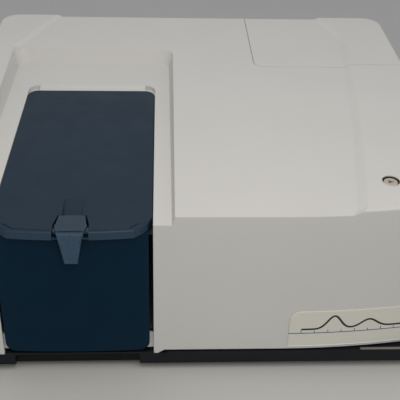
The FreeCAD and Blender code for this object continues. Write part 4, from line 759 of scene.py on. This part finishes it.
class INSTRUMENT_OT_optics(bpy.types.Operator):
    """Finish the light source, the monochromator, the detectors and the electronics"""

    bl_idname = "instrument.optics"
    bl_label = "Optics and electronics"

    def execute(self, context):
        cast = metal("cast_aluminium", srgb(178, 180, 182), 0.55, scratch=1.2 * MM, depth=0.05 * MM)
        paint(cast, "optical_bench", "lamp_house", "power_supply")
        black = metal("optic_black", srgb(30, 30, 32), 0.55, scratch=0.6 * MM, depth=0.02 * MM)
        paint(black, "beam_slits", "filter_wheel", "grating_table", "sample_detector", "reference_detector")
        paint(quartz("lamp_quartz", srgb(238, 242, 244)), "deuterium_lamp", "halogen_lamp", "detector_lenses")
        paint(quartz("filter_glass", srgb(228, 190, 120)), "order_filters")
        paint(optic("coated_optic", srgb(226, 228, 230)), "source_mirror", "collimating_mirror", "focusing_mirror",
              "fold_mirrors", "beam_splitter", "grating")
        case = moulding("motor_black", srgb(26, 26, 28), 0.8 * MM, 0.45)
        paint(case, "source_mirror_motor", "filter_motor", "grating_motor", "deuterium_socket", "halogen_socket")
        paint(board("circuit_board", srgb(20, 92, 52)), "switch_board", "preamp_board", "main_board")
        paint(metal("turned_brass", srgb(196, 168, 96), 0.3), "board_standoffs")
        return {"FINISHED"}


class INSTRUMENT_OT_rear(bpy.types.Operator):
    """Finish the sockets, the switch and the fan at the back"""

    bl_idname = "instrument.rear"
    bl_label = "Rear sockets"

    def execute(self, context):
        black = moulding("socket_black", srgb(24, 24, 26), 0.8 * MM, 0.42, specular=0.4, mottle=0.1, edge=0.3 * MM)
        gloss = moulding("rocker_black", srgb(18, 18, 19), 1.5 * MM, 0.25, specular=0.5, mottle=0.05, edge=0.3 * MM)
        paint(black, "ac_inlet", "fuse_drawer", "rocker_housing", "fan_frame", "fan_impeller")
        paint(gloss, "power_rocker")
        steel = metal("plated_steel", srgb(182, 182, 180), 0.28, stretch=(1, 1, 6))
        paint(steel, "usb_port")
        sizes = context.scene.instrument_rear
        self.add_guard(sizes, steel)
        self.add_plates(sizes)
        self.mark_rocker(sizes)
        return {"FINISHED"}

    def add_guard(self, sizes, steel):
        """The fan's wire guard: four rings welded on four spokes, which end in eyes under the fan's screws."""
        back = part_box("rear_panel")[1].y + sizes.guard_wire
        middle = np.array([sizes.fan_x, back, sizes.fan_z])
        over_spokes = np.array([0, 1.1 * sizes.guard_wire, 0])
        paths = [(circle(middle + over_spokes, sizes.guard_ring - ring * sizes.guard_step), True) for ring in range(4)]
        spoke = np.linspace(0, math.sqrt(2) * sizes.fan_hole - sizes.guard_eye, 8)[:, None]
        for right, up in ((-1, -1), (-1, 1), (1, -1), (1, 1)):
            corner = np.array([right, 0, up])
            paths.append((circle(middle + sizes.fan_hole * corner, sizes.guard_eye), True))
            paths.append((middle + spoke * corner / math.sqrt(2), False))
        guard = wires(paths, sizes.guard_wire, "wire_guard", "casing", steel)
        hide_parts("fan_guard")

    def add_plates(self, sizes):
        """A bare rating plate on the rear panel and a bare serial plate on the base's front ledge."""
        u, v = grid(np.linspace(0, 1, 12), np.linspace(0, 1, 12))
        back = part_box("rear_panel")[1].y
        x = sizes.plate_left + sizes.plate_width * (1 - u)
        z = sizes.plate_bottom + sizes.plate_height * v
        foil = metal("plate_foil", srgb(192, 193, 192), 0.42, stretch=(1, 1, 12), dirt=0.05)
        plate = surface("rating_plate", np.stack([x, np.full_like(x, back), z], axis=-1), "casing", foil)
        thicken(plate, 0.4 * MM, 0.1 * MM)
        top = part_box("base_tray")[0].z + sizes.ledge
        front = cover_low.y + 0.3 * MM
        x = sizes.serial_left + (sizes.serial_right - sizes.serial_left) * u
        y = front + sizes.serial_width * v
        tag = surface("serial_plate", np.stack([x, y, np.full_like(x, top)], axis=-1), "casing",
                      print_ink("serial_ground", srgb(122, 116, 110), 0.5))
        thicken(tag, 0.25 * MM)

    def mark_rocker(self, sizes):
        """A bar on the rocker's upper half and a ring on its lower half."""
        ink = moulding("rocker_mark", srgb(226, 226, 224), 0.5 * MM, 0.4, mottle=0.02)
        across, along = grid(np.linspace(-0.45 * MM, 0.45 * MM, 7), np.linspace(-1.9 * MM, 1.9 * MM, 7))
        self.add_mark("rocker_bar", sizes, 1, across, along, ink)
        turn, radius = grid(np.linspace(FULL_TURN, 0, 36, endpoint=False), np.linspace(1.3 * MM, 2.0 * MM, 3))
        self.add_mark("rocker_ring", sizes, -1, radius * np.cos(turn), radius * np.sin(turn), ink, True)

    def add_mark(self, name, sizes, side, across, along, ink, closed=False):
        """A flat shape on one half of the rocker's face, which is a shallow V turned about the pivot by its tilt."""
        low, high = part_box("power_rocker")
        middle = (low.x + high.x) / 2
        pivot_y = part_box("rear_panel")[1].y - sizes.rocker_depth
        lean = math.atan2(sizes.rocker_rise, sizes.rocker_half)
        up = sizes.mark_reach * side + along * math.cos(lean)
        out = (sizes.rocker_face + sizes.rocker_rise / sizes.rocker_half * sizes.mark_reach
               + side * along * math.sin(lean) + 0.02 * MM)
        y = pivot_y + out * math.cos(sizes.rocker_tilt) - up * math.sin(sizes.rocker_tilt)
        z = sizes.rocker_z + out * math.sin(sizes.rocker_tilt) + up * math.cos(sizes.rocker_tilt)
        mark = surface(name, np.stack([middle - across, y, z], axis=-1), "rocker", ink, closed)
        thicken(mark, PRINT_COAT)


class INSTRUMENT_OT_screws(bpy.types.Operator):
    """Make the screws in the casing's sides and in the rear panel"""

    bl_idname = "instrument.screws"
    bl_label = "Screws"

    def execute(self, context):
        sizes = context.scene.instrument_screws
        steel = metal("screw_steel", srgb(158, 158, 156), 0.33, scratch=0.2 * MM)
        low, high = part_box("cover_screws")
        z = (low.z + high.z) / 2
        radius = (high.z - low.z) / 2
        places = [((x, y, z), (1 if x > 0 else -1, 0, 0)) for x in (low.x, high.x)
                  for y in (low.y + radius, high.y - radius)]
        rings = (0.06, 0.15, 0.25, 0.35, 0.45, 0.55, 0.65)  # close enough, as shares of a head, to carry its recess
        profile = [(0.0, part * sizes.head) for part in (*rings, 0.75, 0.97)]
        profile += [(-0.1 * MM, sizes.head), (-sizes.head_depth, sizes.shank), (-sizes.reach, sizes.shank)]
        screws = turned(profile, places, "side_screws", "casing", steel,
                        cross_recess(0.62 * sizes.head, sizes.recess))
        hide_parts("cover_screws")
        rear = context.scene.instrument_rear
        crown, seat = 0.45 * sizes.pan_height, 0.55 * sizes.pan_height
        face_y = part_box("rear_panel")[1].y + seat
        places = [((x, face_y, z), (0, 1, 0)) for x in (-sizes.panel_x, sizes.panel_x) for z in sizes.panel_z]
        places += [((rear.fan_x + x, face_y + 1.2 * rear.guard_wire, rear.fan_z + z), (0, 1, 0))
                   for x in (-rear.fan_hole, rear.fan_hole) for z in (-rear.fan_hole, rear.fan_hole)]
        profile = [(crown * (1 - part ** 2), part * sizes.pan_head) for part in (*rings, 0.8, 0.92)]
        profile += [(-0.1 * MM, sizes.pan_head), (-seat, sizes.pan_head)]
        turned(profile, places, "panel_screws", "casing", steel,
               cross_recess(0.6 * sizes.pan_head, sizes.recess))
        return {"FINISHED"}


class INSTRUMENT_OT_stage(bpy.types.Operator):
    """Set the floor, the lamps, the even light and the camera"""

    bl_idname = "instrument.stage"
    bl_label = "Stage"

    def execute(self, context):
        settings = context.scene.instrument_stage
        self.add_floor(context, settings)
        self.light_world(context, settings)
        self.add_lamp(context, settings)
        self.add_camera(context, settings)
        context.scene.view_settings.view_transform = "Standard"
        return {"FINISHED"}

    def add_floor(self, context, settings):
        """A plain pale square with a faint cloudiness."""
        s = Shader("pale_floor")
        cloud = s.spread(s.noise(0.2, 3), 0.3, 0.7)
        s.link(s.mix(cloud, shaded(settings.floor, 0.97), opaque(settings.floor)), "Base Color")
        s.principled.inputs["Roughness"].default_value = 0.8
        reach = settings.floor_reach
        mesh = bpy.data.meshes.new("floor")
        corners = [(-reach, -reach, 0), (reach, -reach, 0), (reach, reach, 0), (-reach, reach, 0)]
        mesh.from_pydata(corners, [], [(0, 1, 2, 3)])
        mesh.materials.append(s.material)
        floor = bpy.data.objects.new("floor", mesh)
        context.scene.collection.objects.link(floor)

    def light_world(self, context, settings):
        """An even light on everything, and the floor's own tone behind the object where the camera looks past it."""
        world = bpy.data.worlds.new("studio")
        world.use_nodes = True
        tree = world.node_tree
        even = tree.nodes["Background"]
        even.inputs["Color"].default_value = opaque(settings.sky_tint)
        even.inputs["Strength"].default_value = settings.sky
        seen = tree.nodes.new("ShaderNodeBackground")
        seen.inputs["Color"].default_value = opaque(settings.floor)
        seen.inputs["Strength"].default_value = 1.0
        path = tree.nodes.new("ShaderNodeLightPath")
        mixer = tree.nodes.new("ShaderNodeMixShader")
        tree.links.new(path.outputs["Is Camera Ray"], mixer.inputs["Fac"])
        tree.links.new(even.outputs["Background"], mixer.inputs[1])
        tree.links.new(seen.outputs["Background"], mixer.inputs[2])
        tree.links.new(mixer.outputs["Shader"], tree.nodes["World Output"].inputs["Surface"])
        context.scene.world = world

    def add_lamp(self, context, settings):
        """A long lamp over the middle, from front to back."""
        place = Vector(settings.lamp)
        data = bpy.data.lights.new("overhead", "AREA")
        data.shape = "RECTANGLE"
        data.energy = settings.key
        data.color = settings.key_tint
        data.size = settings.lamp_width
        data.size_y = settings.lamp_length
        lamp = bpy.data.objects.new("overhead", data)
        lamp.location = place
        lamp.rotation_euler = (Vector(settings.lamp_aim) - place).to_track_quat("-Z", "Y").to_euler()
        context.scene.collection.objects.link(lamp)

    def add_camera(self, context, settings):
        """Aim by pitch, yaw and roll: look down, then to the right, then lean."""
        pitch, yaw, roll = settings.pitch, settings.yaw, settings.roll
        ahead = Vector((math.sin(yaw) * math.cos(pitch), math.cos(yaw) * math.cos(pitch), -math.sin(pitch)))
        level = Vector((math.cos(yaw), -math.sin(yaw), 0))
        upright = level.cross(ahead)
        right = math.cos(roll) * level + math.sin(roll) * upright
        up = math.cos(roll) * upright - math.sin(roll) * level
        data = bpy.data.cameras.new("camera")
        data.lens = settings.lens
        data.sensor_width = 36
        camera = bpy.data.objects.new("camera", data)
        turn = Matrix((right, up, -ahead)).transposed().to_4x4()
        camera.matrix_world = Matrix.Translation(settings.camera) @ turn
        context.scene.collection.objects.link(camera)
        context.scene.camera = camera


OPERATORS = (INSTRUMENT_OT_casing, INSTRUMENT_OT_lid, INSTRUMENT_OT_badge, INSTRUMENT_OT_button,
             INSTRUMENT_OT_compartment, INSTRUMENT_OT_optics, INSTRUMENT_OT_rear, INSTRUMENT_OT_screws,
             INSTRUMENT_OT_stage)
GROUPS = {"instrument_casing": CasingLook, "instrument_badge": BadgeSizes, "instrument_button": ButtonSizes,
          "instrument_trim": TrimSizes, "instrument_rear": RearSizes, "instrument_screws": ScrewSizes,
          "instrument_stage": StageSettings}


class INSTRUMENT_PT_panel(bpy.types.Panel):
    """Lists the instrument's sizes, colours and pieces"""

    bl_idname = "INSTRUMENT_PT_panel"
    bl_label = "UV-vis spectrophotometer"
    bl_space_type = "VIEW_3D"
    bl_region_type = "UI"
    bl_category = "Instrument"

    def draw(self, context):
        """The sizes and colours of each group, then a button for each operator."""
        for name in GROUPS:
            settings = getattr(context.scene, name)
            column = self.layout.column(align=True)
            for field in settings.__annotations__:
                column.prop(settings, field)
        for operator in OPERATORS:
            self.layout.operator(operator.bl_idname)


def register():
    """Add the groups, the operators and the panel to Blender."""
    for group in (*GROUPS.values(), *OPERATORS, INSTRUMENT_PT_panel):
        bpy.utils.register_class(group)
    for name, group in GROUPS.items():
        setattr(bpy.types.Scene, name, PointerProperty(type=group))


def unregister():
    """Take them away again."""
    for name in GROUPS:
        delattr(bpy.types.Scene, name)
    for group in (INSTRUMENT_PT_panel, *reversed(OPERATORS), *GROUPS.values()):
        bpy.utils.unregister_class(group)


def main():
    """Make every piece."""
    register()
    for operator in OPERATORS:
        part, name = operator.bl_idname.split(".")
        getattr(getattr(bpy.ops, part), name)()


if __name__ == "__main__":
    main()
